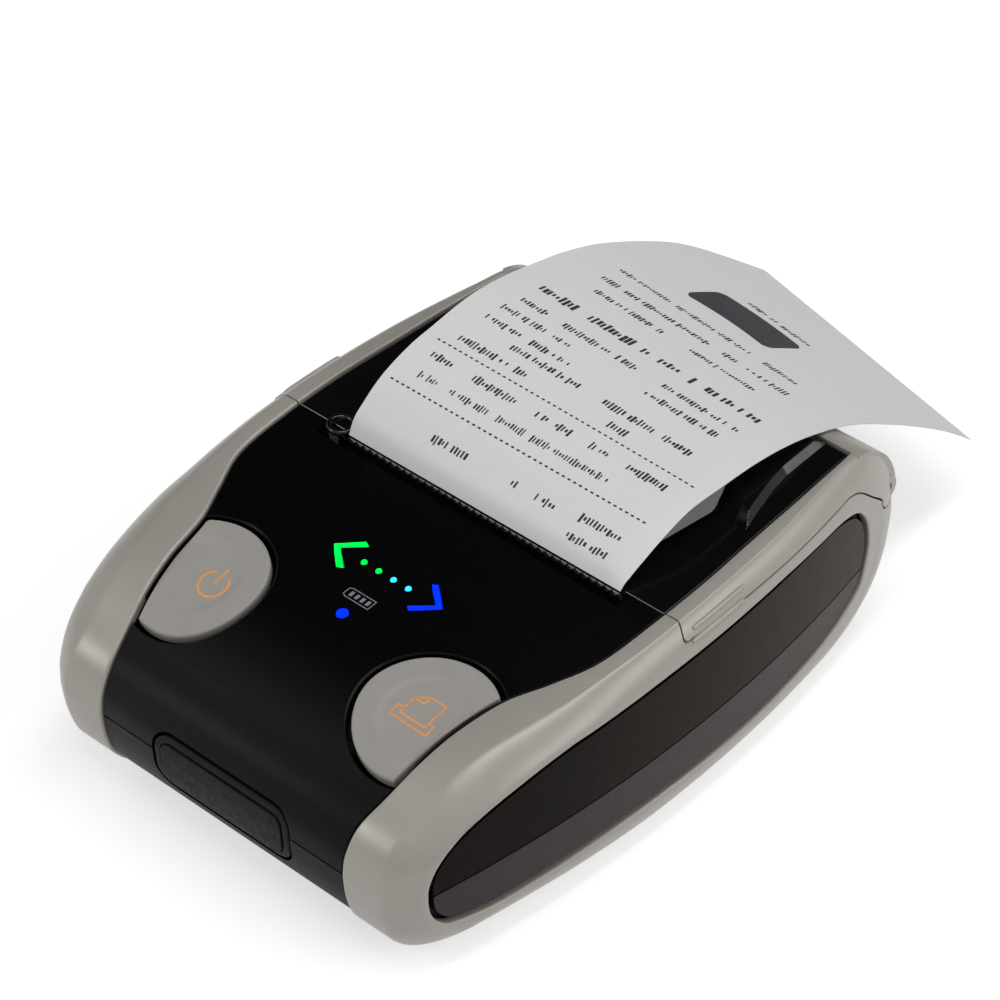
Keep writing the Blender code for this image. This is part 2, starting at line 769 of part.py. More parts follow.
PAPER_LOW = PAPER_CENTRE - PAPER_WIDTH / 2
PAPER_HIGH = PAPER_CENTRE + PAPER_WIDTH / 2
FLOOR_TOP = BAND_PROUD_GAP + SHELL_WALL
LEDGE_TOP = BUMPER_WALL + FIT + SHELL_WALL
TRAY_RADIUS = ROLL_RADIUS + TRAY_CLEARANCE + TRAY_WALL
ROLL_Z = FLOOR_TOP + FIT + TRAY_RADIUS
TRAY_LOW = PAPER_LOW - TRAY_END_GAP
TRAY_HIGH = PAPER_HIGH + TRAY_END_GAP
ARM_LEFT = PAPER_LOW - ARM_GAP - ARM_THICKNESS
ARM_RIGHT = PAPER_HIGH + ARM_GAP
GEAR_HIGH = ARM_LEFT - BUSH_FLANGE - GEAR_GAP
GEAR_LOW = GEAR_HIGH - GEAR_WIDTH
BAY_HALF = -GEAR_LOW + GEAR_GAP * 2
PLATEN_Z = profile_height(PLATEN_Y) - BAND_PROUD_GAP - LID_SKIN - PLATEN_LID_GAP - PLATEN_RADIUS
REDUCTION_Y = PLATEN_Y
REDUCTION_Z = PLATEN_Z - GEAR_MODULE * (PLATEN_TEETH + REDUCTION_TEETH) / 2
PLATEN_RISE = PLATEN_Z - ROLL_Z
TRAY_LIP = TRAY_LIP_SHARE * PLATEN_RISE
SENSOR_HEIGHT = SENSOR_HEIGHT_SHARE * PLATEN_RISE
PINION_Y = REDUCTION_Y - GEAR_MODULE * (REDUCTION_TEETH + PINION_TEETH) / 2
PINION_Z = REDUCTION_Z
BATTERY_REAR = PINION_Y - MOTOR_RADIUS - BATTERY_MOTOR_GAP
MAIN_BOARD_REAR = BATTERY_REAR
KEY_BOARD_REAR = MAIN_BOARD_REAR - RIBBON_THICKNESS - KEY_BOARD_RIBBON_GAP
BUZZER_Y = MAIN_BOARD_REAR - BUZZER_RADIUS - BUZZER_INSET
PLATE_LOW = GEAR_HIGH + GEAR_GAP
MOTOR_START = PLATE_LOW + PLATE_THICKNESS + FIT
HEAD_FACE_Y = PLATEN_Y - PLATEN_RADIUS - HEAD_FACE_GAP
HEAD_LOW_Z = PLATEN_Z - HEAD_HEIGHT + HEAD_LIFT
HEAD_BACK_Y = HEAD_FACE_Y - HEAD_THICKNESS - FIT - HEATSINK_THICKNESS
BUTTON_SLOPE = math.atan2(
    profile_height(BUTTON_Y + BUTTON_RADIUS / 2) - profile_height(BUTTON_Y - BUTTON_RADIUS / 2),
    BUTTON_RADIUS,
)
BUTTON_TOP_Z = profile_height(BUTTON_Y) - BAND_PROUD_GAP


def screw_spots():
    """(x, y, height of the head's seat) of the four case screws."""
    front, rear = SCREW_SPOT_SHARES
    for (x_share, y_share), seat in ((front, SCREW_SEAT), (rear, SCREW_REAR_SEAT)):
        for side in (-1, 1):
            yield side * x_share * HALF_WIDTH, y_share * BODY_LENGTH, seat


def foot_spots():
    for x_share, y_share in FOOT_SPOT_SHARES:
        for side in (-1, 1):
            yield side * x_share * HALF_WIDTH, y_share * BODY_LENGTH


# Casing


def button_frame(x):
    """Matrix from a button's own axes, +Z out of the top, to its place."""
    turn = Matrix.Rotation(BUTTON_SLOPE, 4, "X")
    return Matrix.Translation((x, BUTTON_Y, BUTTON_TOP_Z)) @ turn


def button_rod(name, x, radius, low, high, sides, mat=None):
    """Rod along a button's axis between two heights from the top of the band."""
    obj = prism_z(name, circle(0.0, 0.0, radius, sides), low, high, mat)
    obj.matrix_world = button_frame(x)
    return obj


def port_outline(margin):
    """(x, z) outline of the front port, rounded at its corners and grown by the margin."""
    half = PORT_HALF + margin
    low = PORT_BOTTOM - margin
    high = PORT_TOP + margin
    radius = PORT_CORNER + margin
    points = []
    quarter = 0.5 * math.pi
    for x, z, start in (
        (half - radius, high - radius, 0.0),
        (radius - half, high - radius, quarter),
        (radius - half, low + radius, 2 * quarter),
        (half - radius, low + radius, 3 * quarter),
    ):
        points += circle(x, z, radius, 4, start, start + quarter, False)
    return points


def port_prism(name, margin, low, high, mat=None):
    points = [(x, y, z) for y in (low, high) for x, z in port_outline(margin)]
    return solid(name, points, rings_to_faces(2, len(points) // 2), mat)


def light_outlines():
    """Name, colour and (x, y) outline of each light in the top, drawn without any gap."""
    stroke = LIGHT_STROKE
    for name, side, color in (("green_bracket_lens", -1, "green"), ("blue_bracket_lens", 1, "blue")):
        tip = side * CHEVRON_POINT_X
        inner = side * (CHEVRON_POINT_X - stroke * CHEVRON_MITRE_SHARE)
        end = side * (CHEVRON_POINT_X - CHEVRON_RUN)
        yield name, color, (
            (tip, CHEVRON_Y),
            (end, CHEVRON_Y + CHEVRON_RISE),
            (end - side * stroke, CHEVRON_Y + CHEVRON_RISE - stroke / 2),
            (inner, CHEVRON_Y),
            (end - side * stroke, CHEVRON_Y - CHEVRON_RISE + stroke / 2),
            (end, CHEVRON_Y - CHEVRON_RISE),
        )
    for k in range(DOT_COUNT):
        x = DOT_FIRST_X + DOT_STEP * k
        outline = circle(x, CHEVRON_Y, DOT_RADIUS, 8)
        yield f"level_lens_{k + 1}", "green" if k < DOT_COUNT / 2 else "cyan", outline
    yield "status_lamp_lens", "blue", circle(0.0, LAMP_Y, LAMP_RADIUS, 12)


def grown(outline, margin):
    """Outline moved outwards by the margin along the mean of its corner's two sides."""
    area = sum(a[0] * b[1] - a[1] * b[0] for a, b in zip(outline, (*outline[1:], outline[0])))
    turn = 1 if area > 0 else -1
    found = []
    for k, point in enumerate(outline):
        before = (Vector(point) - Vector(outline[k - 1])).normalized()
        after = (Vector(outline[(k + 1) % len(outline)]) - Vector(point)).normalized()
        out = (Vector((before.y, -before.x)) + Vector((after.y, -after.x))).normalized() * turn
        spread = max(MITRE_LEAST_SHARE, abs(out.dot(Vector((before.y, -before.x)))))
        found.append(tuple(Vector(point) + out * margin / spread))
    return found


def split_body(name, low, high):
    """The hollow black body between two heights."""
    shell = body_solid(name, 0.0, True, black_plastic())
    cut(shell, body_solid(f"{name}_cavity", SHELL_WALL, False))
    reach = HALF_WIDTH + BODY_LENGTH
    keep(shell, box(f"{name}_part", (-reach, -reach, low), (reach, reach, high)))
    return shell


def inside_band(obj):
    """Trims a piece to the black band, so that none of it comes through the outside."""
    return keep(obj, band_solid(f"{obj.name}_limit", BAND_PROUD_GAP + FIT, FIT))


def add_lower_shell():
    shell = split_body("lower_shell", -BODY_HEIGHT, SEAM_HEIGHT - FIT / 2)
    for number, (x, y, seat) in enumerate(screw_spots(), 1):
        foot = FLOOR_TOP - SHELL_WALL / 2 if seat == SCREW_SEAT else seat - SHELL_WALL
        top = SEAM_HEIGHT - FIT
        radius = SCREW_BOSS_RADIUS
        join(shell, inside_band(rod_z(f"lower_boss_{number}", x, y, radius, foot, top, SMALL_SIDES)))
        head = SCREW_HEAD_RADIUS + SCREW_CLEARANCE
        cut(shell, rod_z(f"head_well_{number}", x, y, head, -OVERRUN, seat, SMALL_SIDES))
        shank = SCREW_SHANK_RADIUS + SCREW_CLEARANCE
        cut(shell, rod_z(f"shank_hole_{number}", x, y, shank, -OVERRUN, BODY_HEIGHT, SMALL_SIDES))
    for number, (x, y) in enumerate(foot_spots(), 1):
        cut(shell, rod_z(f"foot_well_{number}", x, y, FOOT_RADIUS + FIT, -OVERRUN, FOOT_HEIGHT + FIT,
                         ROUND_SIDES))
    gap = FIT
    door_low = (-DOOR_HALF - gap, DOOR_FRONT - gap, -OVERRUN)
    door_high = (DOOR_HALF + gap, DOOR_REAR + gap, SHELL_WALL + FLOOR_TOP)
    cut(shell, box("door_hole", door_low, door_high))
    cut(shell, port_prism("lower_port_hole", FIT, -BODY_LENGTH, SOCKET_FACE_Y))
    return shell


def add_upper_shell():
    shell = split_body("upper_shell", SEAM_HEIGHT + FIT / 2, BODY_HEIGHT + OVERRUN)
    wing_clear = rind("wing_clear", -OVERRUN, BAND_PROUD_GAP + LID_SKIN + WING_CLEARANCE)
    keep(wing_clear, swept_lid_space("wing_clear_space"))
    cut(shell, wing_clear)
    reach = BODY_LENGTH / 2
    bay_rear = HINGE_Y - HINGE_BARREL_RADIUS - FIT
    bay_floor = SEAM_HEIGHT - OVERRUN
    cut(shell, box("bay_hole", (-BAY_HALF, LID_FRONT - FIT, bay_floor), (BAY_HALF, bay_rear, reach)))
    slot_low = (-SLOT_HALF, SLOT_FRONT, profile_height(SLOT_FRONT) - SLOT_DEPTH)
    cut(shell, box("slot_hole", slot_low, (SLOT_HALF, LID_FRONT, reach)))
    rear_clear = swept_lid_space("rear_clear")
    rear_low = (-reach, LID_REAR_BAR_FRONT - FIT, 0.0)
    keep(rear_clear, box("rear_clear_part", rear_low, (reach, BODY_LENGTH, BODY_LENGTH)))
    cut(shell, rear_clear)
    for number, side in enumerate((-1, 1), 1):
        ear = (
            *circle(HINGE_Y, HINGE_Z, EAR_RADIUS, 12, 0.0, math.pi, False),
            (HINGE_Y - EAR_RADIUS, HINGE_Z - EAR_HEEL_DROP),
            (HINGE_Y + EAR_RADIUS, HINGE_Z - EAR_HEEL_DROP),
        )
        low, high = sorted((side * EAR_INNER, side * (EAR_INNER + EAR_WIDTH)))
        join(shell, prism_x(f"hinge_ear_{number}", ear, low, high))
    bore = HINGE_PIN_RADIUS + PIN_CLEARANCE
    inside = EAR_INNER + EAR_WIDTH + OVERRUN
    cut(shell, rod_x("ear_bore", HINGE_Y, HINGE_Z, bore, -inside, inside, SMALL_SIDES))
    for number, (x, y, seat) in enumerate(screw_spots(), 1):
        foot = SEAM_HEIGHT + FIT
        top = BODY_HEIGHT if seat == SCREW_SEAT else REAR_BOSS_TOP
        radius = SCREW_BOSS_RADIUS if seat == SCREW_SEAT else SCREW_BOSS_RADIUS + SHELL_WALL
        join(shell, inside_band(rod_z(f"upper_boss_{number}", x, y, radius, foot, top, SMALL_SIDES)))
        pilot = SCREW_SHANK_RADIUS + SCREW_CLEARANCE / 2
        end = screw_tip(seat) + SCREW_CLEARANCE
        cut(shell, rod_z(f"pilot_hole_{number}", x, y, pilot, 0.0, end, SMALL_SIDES))
    for name, x in (("power", -BUTTON_X), ("feed", BUTTON_X)):
        hole = button_rod(f"{name}_button_hole", x, BUTTON_RADIUS + BUTTON_GAP,
                          -BUTTON_RADIUS, BUTTON_RADIUS, BUTTON_SIDES)
        keep(hole, band_solid(f"{name}_button_edge", -BUTTON_RADIUS / 2, FIT))
        cut(shell, hole)
    for name, _, outline in light_outlines():
        cut(shell, prism_z(f"{name}_hole", grown(outline, LIGHT_GAP), SEAM_HEIGHT, reach))
    cut(shell, port_prism("upper_port_hole", FIT, -BODY_LENGTH, SOCKET_FACE_Y))
    return shell


def screw_tip(seat):
    if seat == SCREW_SEAT:
        return SEAM_HEIGHT + SCREW_GRIP
    return REAR_BOSS_TOP - SCREW_REAR_END_GAP


def add_bumpers():
    for name, side in (("left_bumper", -1), ("right_bumper", 1)):
        ring = bumper_ring(name, side, grey_plastic())
        cut(ring, swept_lid_space(f"{name}_lid_space"))


def add_lid_frame():
    """Grey wings and rear bar of the lid, with the hinge barrel along its rear edge."""
    frame = bumper_ring("lid_frame", -1, grey_plastic())
    join(frame, bumper_ring("lid_frame_right", 1))
    bar = rind("lid_rear_bar", LID_BAR_SINK, FLOOR_TOP)
    half = HINGE_BARREL_HALF
    bar_half = half - FIT
    keep(bar, box("lid_rear_bar_space", (-bar_half, LID_REAR_BAR_FRONT, SEAM_HEIGHT),
                  (bar_half, BODY_LENGTH, BODY_LENGTH)))
    join(frame, bar)
    barrel = circle(HINGE_Y, HINGE_Z, HINGE_BARREL_RADIUS, ROUND_SIDES)
    join(frame, prism_x("lid_barrel", barrel, -half, half))
    keep(frame, lid_space("lid_frame_space"))
    for number, side in enumerate((-1, 1), 1):
        low, high = sorted((side * (EAR_INNER - FIT), side * (EAR_INNER + EAR_WIDTH + FIT)))
        room = EAR_RADIUS + 2 * FIT
        notch = (
            *circle(HINGE_Y, HINGE_Z, room, 12, 0.0, math.pi, False),
            (HINGE_Y - room, HINGE_Z - BODY_HEIGHT),
            (HINGE_Y + room, HINGE_Z - BODY_HEIGHT),
        )
        cut(frame, prism_x(f"ear_notch_{number}", notch, low, high))
        swept = circle(HINGE_Y, HINGE_Z, room + FIT, ROUND_SIDES)
        cut(frame, prism_x(f"ear_sweep_{number}", swept, low, high))
    bore = HINGE_PIN_RADIUS + PIN_CLEARANCE
    inside = EAR_INNER + EAR_WIDTH + KNUCKLE_REACH
    cut(frame, rod_x("lid_bore", HINGE_Y, HINGE_Z, bore, -inside, inside, SMALL_SIDES))
    return frame


def hump(x, front_height, rear_height):
    """Rise of the lid above the profile: a narrow front hump and a wide rear one, whichever is higher."""

    def fall(plateau, foot):
        return min(1.0, max(0.0, (foot - abs(x)) / (foot - plateau)))

    front = front_height * fall(HUMP_FRONT_PLATEAU, HUMP_FRONT_FOOT)
    rear = rear_height * fall(HUMP_REAR_PLATEAU, HUMP_REAR_FOOT)
    return HUMP_HEIGHT * max(front, rear)


def lid_columns(half):
    right = (
        HUMP_FRONT_PLATEAU / 2,
        HUMP_FRONT_PLATEAU,
        HUMP_FRONT_FOOT,
        HUMP_REAR_PLATEAU,
        min(HUMP_REAR_FOOT, half - FIT),
        half,
    )
    return [-x for x in reversed(right)] + [0.0, *right]


def lid_rows():
    """(y, front hump height, rear hump height) at each row of the lid's skin."""
    length = LID_REAR_BAR_FRONT - FIT - LID_FRONT
    return [(LID_FRONT + a * length, b, c) for a, b, c in HUMP_ROW_SHARES]


def add_lid_cover():
    """Black skin of the lid, with the two arms that carry the platen."""
    top, bottom = [], []
    for y, front_height, rear_height in lid_rows():
        base = profile_height(y) - BAND_PROUD_GAP
        row = [
            (x, y, base + hump(x, front_height, rear_height))
            for x in lid_columns(band_half(y) - FIT / 2)
        ]
        top.append(row)
        bottom.append([(x, y, z - LID_SKIN) for x, y, z in row])
    columns = len(top[0])
    points = []
    for upper, lower in zip(top, bottom):
        points += upper + lower[::-1]
    cover = solid("lid_cover", points, rings_to_faces(len(top), 2 * columns), gloss_black_plastic())
    arm_top = profile_height(PLATEN_Y) - BAND_PROUD_GAP - LID_SKIN / 2
    arm = (
        *circle(PLATEN_Y, PLATEN_Z, ARM_RADIUS, 12, math.pi, 2 * math.pi, False),
        (PLATEN_Y + ARM_RADIUS, arm_top),
        (PLATEN_Y - ARM_RADIUS + FIT, arm_top),
    )
    for name, low in (("left", ARM_LEFT), ("right", ARM_RIGHT)):
        join(cover, prism_x(f"platen_arm_{name}", arm, low, low + ARM_THICKNESS))
    reach = HALF_WIDTH
    bore = BUSH_RADIUS + FIT / 2
    cut(cover, rod_x("bush_bore", PLATEN_Y, PLATEN_Z, bore, -reach, reach, SMALL_SIDES))
    return cover


def add_hinge_pins():
    outer = EAR_INNER + EAR_WIDTH + KNUCKLE_REACH - FIT
    inner = EAR_INNER - KNUCKLE_REACH
    for name, side in (("hinge_pin_left", -1), ("hinge_pin_right", 1)):
        low, high = sorted((side * inner, side * outer))
        rod_x(name, HINGE_Y, HINGE_Z, HINGE_PIN_RADIUS, low, high, SMALL_SIDES, steel())


# Platen and gear train


def gear_outline(y, z, teeth, tooth_angle):
    """Teeth as straight-sided wedges; one tooth points along tooth_angle."""
    pitch = GEAR_MODULE * teeth / 2
    root = pitch - GEAR_MODULE * DEDENDUM_SHARE
    tip = pitch + GEAR_MODULE * ADDENDUM_SHARE
    step = 2 * math.pi / teeth
    points = []
    for k in range(teeth):
        middle = tooth_angle + step * k
        for radius, share in (
            (root, -TOOTH_FOOT_SHARE),
            (tip, -TOOTH_TIP_SHARE),
            (tip, TOOTH_TIP_SHARE),
            (root, TOOTH_FOOT_SHARE),
        ):
            angle = middle + step * share / 2
            points.append((y + radius * math.cos(angle), z + radius * math.sin(angle)))
    return points


def gear(name, y, z, teeth, tooth_angle, bore, mat):
    wheel = prism_x(name, gear_outline(y, z, teeth, tooth_angle), GEAR_LOW, GEAR_HIGH, mat, (0.0, y, z))
    if bore:
        reach = HALF_WIDTH
        cut(wheel, rod_x(f"{name}_bore", y, z, bore, -reach, 0.0, SMALL_SIDES))
    return wheel


def meshing_angle(direction, teeth, tooth_angle, next_teeth):
    """Tooth angle of a gear that meshes with one of known tooth angle, seen in this direction."""
    ahead = tooth_angle - direction
    step = 2 * math.pi / teeth
    ahead -= step * round(ahead / step)
    return direction + math.pi - ahead * teeth / next_teeth + math.pi / next_teeth


def add_platen_and_gears():
    low, high = PAPER_LOW - FIT, PAPER_HIGH + FIT
    bore = SHAFT_RADIUS + FIT / 2
    tube = ((low, PLATEN_RADIUS), (high, PLATEN_RADIUS), (high, bore), (low, bore))
    turned_x("platen_roller", PLATEN_Y, PLATEN_Z, tube, ROUND_SIDES, dark_rubber())
    shaft_high = ARM_RIGHT + ARM_THICKNESS + BUSH_FLANGE
    rod_x("platen_shaft", PLATEN_Y, PLATEN_Z, SHAFT_RADIUS, GEAR_LOW - FIT, shaft_high,
          SMALL_SIDES, steel())
    add_bush("platen_bush_left", ARM_LEFT, -1)
    add_bush("platen_bush_right", ARM_RIGHT, 1)
    down = -math.pi / 2
    platen_angle = down + math.pi / PLATEN_TEETH
    gear("platen_gear", PLATEN_Y, PLATEN_Z, PLATEN_TEETH, platen_angle, bore, white_plastic())
    reduction_angle = meshing_angle(down, PLATEN_TEETH, platen_angle, REDUCTION_TEETH)
    gear("reduction_gear", REDUCTION_Y, REDUCTION_Z, REDUCTION_TEETH, reduction_angle,
         STUD_RADIUS + FIT / 2, white_plastic())
    pinion_angle = meshing_angle(math.pi, REDUCTION_TEETH, reduction_angle, PINION_TEETH)
    pinion = gear("motor_pinion", PINION_Y, PINION_Z, PINION_TEETH, pinion_angle, 0.0, steel())
    shaft_end = MOTOR_START + MOTOR_SHAFT_REACH - FIT
    join(pinion, rod_x("motor_shaft", PINION_Y, PINION_Z, MOTOR_SHAFT_RADIUS, GEAR_LOW + FIT,
                       shaft_end, SMALL_SIDES))


def add_bush(name, arm_low, side):
    """Flanged bush in one arm; its flange is on the outer side, -1 for the left and 1 for the right."""
    inner = SHAFT_RADIUS + FIT / 2
    face_in = arm_low if side > 0 else arm_low + ARM_THICKNESS
    face_out = arm_low + ARM_THICKNESS if side > 0 else arm_low
    gap = side * FIT / 2
    flange = side * BUSH_FLANGE
    profile = (
        (face_in, inner),
        (face_in, BUSH_RADIUS),
        (face_out + gap, BUSH_RADIUS),
        (face_out + gap, BUSH_FLANGE_RADIUS),
        (face_out + flange, BUSH_FLANGE_RADIUS),
        (face_out + flange, inner),
    )
    return turned_x(name, PLATEN_Y, PLATEN_Z, profile, SMALL_SIDES, white_plastic())


def add_motor_and_plate():
    plate_high = PLATE_LOW + PLATE_THICKNESS
    low_z = LEDGE_TOP + FIT
    front = PINION_Y - PLATE_MARGIN
    rear = REDUCTION_Y + PLATE_MARGIN
    top = REDUCTION_Z + PLATE_MARGIN
    outline = ((front, low_z), (rear, low_z), (rear, top), (front, top))
    plate = prism_x("gear_plate", outline, PLATE_LOW, plate_high, steel())
    stud = rod_x("reduction_stud", REDUCTION_Y, REDUCTION_Z, STUD_RADIUS, GEAR_LOW - FIT,
                 plate_high - PLATE_THICKNESS / 2, SMALL_SIDES)
    join(plate, stud)
    hole = MOTOR_SHAFT_RADIUS + 2 * FIT
    cut(plate, rod_x("motor_shaft_hole", PINION_Y, PINION_Z, hole, -HALF_WIDTH, 0.0, SMALL_SIDES))
    start = MOTOR_START
    motor = rod_x("feed_motor", PINION_Y, PINION_Z, MOTOR_RADIUS, start, start + MOTOR_LENGTH,
                  ROUND_SIDES, steel())
    bearing = rod_x("motor_bearing", PINION_Y, PINION_Z, MOTOR_SHAFT_RADIUS + FIT, -HALF_WIDTH,
                    start + MOTOR_SHAFT_REACH, SMALL_SIDES)
    cut(motor, bearing)
    cradle_half = MOTOR_LENGTH / 4
    middle = start + MOTOR_LENGTH / 2
    cradle = box("motor_cradle", (middle - cradle_half, PINION_Y - MOTOR_RADIUS / 2, low_z),
                 (middle + cradle_half, PINION_Y + MOTOR_RADIUS / 2, PINION_Z - MOTOR_RADIUS / 2),
                 black_plastic())
    clear = rod_x("motor_clear", PINION_Y, PINION_Z, MOTOR_RADIUS + FIT, start - OVERRUN,
                  start + MOTOR_LENGTH + OVERRUN, ROUND_SIDES)
    cut(cradle, clear)


# Print head and tear bar


def add_head():
    half = HEAD_WIDTH / 2
    centre = PAPER_CENTRE
    high_z = HEAD_LOW_Z + HEAD_HEIGHT
    back = HEAD_FACE_Y - HEAD_THICKNESS
    box("print_head", (centre - half, back, HEAD_LOW_Z), (centre + half, HEAD_FACE_Y, high_z),
        white_plastic())
    box("head_heatsink", (centre - half, HEAD_BACK_Y, HEAD_LOW_Z), (centre + half, back - FIT, high_z),
        material("aluminium", (0.72, 0.72, 0.72), 0.4, 1.0))
    bracket_high = HEAD_BACK_Y - HEAD_SPRING_DEPTH
    bracket_low = bracket_high - BRACKET_THICKNESS
    foot_z = LEDGE_TOP + FIT
    right_low = centre + half - HEAD_POST_WIDTH
    outline = (
        (centre - half, HEAD_LOW_Z), (right_low, HEAD_LOW_Z), (right_low, foot_z),
        (centre + half, foot_z), (centre + half, high_z), (centre - half, high_z),
    )
    points = [(x, y, z) for y in (bracket_low, bracket_high) for x, z in outline]
    solid("head_bracket", points, rings_to_faces(2, len(outline)), steel())
    add_head_spring(bracket_high + FIT, HEAD_BACK_Y - FIT, (HEAD_LOW_Z + high_z) / 2)
    add_tear_bar(back)


def add_head_spring(front, rear, middle_z):
    """Bowed leaf spring that pushes the head against the platen."""
    half_height = HEAD_HEIGHT * HEAD_SPRING_HALF_SHARE
    depth = rear - front - HEAD_SPRING_SHEET
    outer, inner = [], []
    for k in range(HEAD_SPRING_POINTS):
        share = 2 * k / (HEAD_SPRING_POINTS - 1) - 1
        y = front + depth * (1 - share * share)
        outer.append((y + HEAD_SPRING_SHEET, middle_z + half_height * share))
        inner.append((y, middle_z + half_height * share))
    half = HEAD_SPRING_WIDTH / 2
    prism_x("head_spring", outer + inner[::-1], PAPER_CENTRE - half, PAPER_CENTRE + half, steel())


def add_tear_bar(head_back):
    """Strip with a row of pointed teeth, standing in the slot on top of the head."""
    half = HEAD_WIDTH / 2
    low_z = HEAD_LOW_Z + HEAD_HEIGHT + FIT
    root_z = low_z + TEAR_HEIGHT - TEAR_TOOTH
    teeth = int((2 * half) / TEAR_PITCH)
    left = PAPER_CENTRE - teeth * TEAR_PITCH / 2
    outline = [(left, low_z), (left + teeth * TEAR_PITCH, low_z)]
    for k in range(teeth, 0, -1):
        outline.append((left + k * TEAR_PITCH, root_z))
        outline.append((left + (k - 0.5) * TEAR_PITCH, root_z + TEAR_TOOTH))
    outline.append((left, root_z))
    rear = head_back + TEAR_THICKNESS
    points = [(x, y, z) for y in (head_back, rear) for x, z in outline]
    solid("tear_bar", points, rings_to_faces(2, len(outline)), steel())


# Buttons and lights


def add_button(name, x):
    cap = button_rod(name, x, BUTTON_RADIUS, -BUTTON_RADIUS, BUTTON_RADIUS, BUTTON_SIDES,
                     button_plastic())
    top = band_solid(f"{name}_top", BAND_PROUD_GAP - BUTTON_RISE, BUTTON_GAP)
    keep(cap, top)
    under = band_solid(f"{name}_under", BAND_PROUD_GAP - BUTTON_RISE + BUTTON_WALL, -OVERRUN)
    cut(cap, under)
    stem = button_rod(f"{name}_stem", x, BUTTON_STEM_RADIUS, switch_gap(), -BUTTON_WALL / 2, 12)
    join(cap, stem)
    dish = dish_cutter(f"{name}_dish", x)
    cut(cap, dish)
    return cap


def switch_gap():
    """Height on the button's axis of its stem's lower end, just over the switch's plunger."""
    plunger = KEY_BOARD_TOP + FIT + SWITCH_HEIGHT + SWITCH_PLUNGER_HEIGHT
    tilt = BUTTON_STEM_RADIUS * math.tan(abs(BUTTON_SLOPE))
    return (plunger + FIT + BUTTON_TRAVEL + tilt - BUTTON_TOP_Z) / math.cos(BUTTON_SLOPE)


def dish_cutter(name, x):
    """Shallow round dish: a ball whose cap is as wide and as deep as the dish."""
    ball_radius = (DISH_RADIUS**2 + DISH_DEPTH**2) / (2 * DISH_DEPTH)
    rings = 3
    sides = ROUND_SIDES
    points = []
    for k in range(1, rings + 1):
        angle = math.asin(DISH_RADIUS / ball_radius) * DISH_CUTTER_SHARE * k / rings
        height = ball_radius * (1 - math.cos(angle)) - DISH_DEPTH + BUTTON_RISE
        for px, py in circle(0.0, 0.0, ball_radius * math.sin(angle), sides):
            points.append((px, py, height))
    points += [(px, py, DISH_RADIUS) for px, py, _ in points[-sides:]]
    faces = rings_to_faces(rings + 1, sides)
    obj = solid(name, points, faces, None)
    obj.matrix_world = button_frame(x)
    return obj


def add_switch(name, x):
    half = SWITCH_SIDE / 2
    low = KEY_BOARD_TOP + FIT
    y = BUTTON_Y + (BUTTON_TOP_Z - low) * math.sin(BUTTON_SLOPE)
    base = box(name, (x - half, y - half, low), (x + half, y + half, low + SWITCH_HEIGHT),
               steel(), (x, y, low))
    top = low + SWITCH_HEIGHT + SWITCH_PLUNGER_HEIGHT
    join(base, rod_z(f"{name}_plunger", x, y, SWITCH_PLUNGER_RADIUS, low + SWITCH_HEIGHT / 2, top, 12))
    return base


LIGHT_COLORS = {"green": (0.0, 0.9, 0.15), "cyan": (0.05, 0.5, 0.9), "blue": (0.0, 0.05, 0.9)}


def add_lights():
    """Each light's top is flush with the band: its prism is trimmed by the band itself."""
    for name, color, outline in light_outlines():
        y = sum(p[1] for p in outline) / len(outline)
        low = profile_height(y) - BAND_PROUD_GAP - LIGHT_DEPTH
        light = prism_z(name, outline, low, BODY_HEIGHT, material(f"{color}_light", LIGHT_COLORS[color],
                                                                  0.3))
        keep(light, band_solid(f"{name}_flush", BAND_PROUD_GAP, FIT))


# Boards, battery and sockets


def add_boards():
    low = KEY_BOARD_TOP - BOARD_THICKNESS
    box("key_board", (-KEY_BOARD_HALF, KEY_BOARD_FRONT, low),
        (KEY_BOARD_HALF, KEY_BOARD_REAR, KEY_BOARD_TOP), board_green())
    half, tongue = MAIN_BOARD_HALF, MAIN_BOARD_TONGUE_HALF
    outline = (
        (-tongue, MAIN_BOARD_FRONT), (tongue, MAIN_BOARD_FRONT), (tongue, MAIN_BOARD_SHOULDER),
        (half, MAIN_BOARD_SHOULDER), (half, MAIN_BOARD_REAR), (-half, MAIN_BOARD_REAR),
        (-half, MAIN_BOARD_SHOULDER), (-tongue, MAIN_BOARD_SHOULDER),
    )
    prism_z("main_board", outline, MAIN_BOARD_TOP - BOARD_THICKNESS, MAIN_BOARD_TOP, board_green())


def add_battery_and_door():
    low = LEDGE_TOP + FIT
    pack = box("battery_pack", (-BATTERY_HALF, BATTERY_FRONT, low), (BATTERY_HALF, BATTERY_REAR,
                                                                     BATTERY_TOP),
               material("battery_blue", (0.05, 0.10, 0.28), 0.4))
    edges = pack.modifiers.new("rounded", "BEVEL")
    edges.width = BATTERY_EDGE
    edges.segments = 2
    door = box("battery_door", (-DOOR_HALF, DOOR_FRONT, BAND_PROUD_GAP),
               (DOOR_HALF, DOOR_REAR, FLOOR_TOP), black_plastic())
    return door


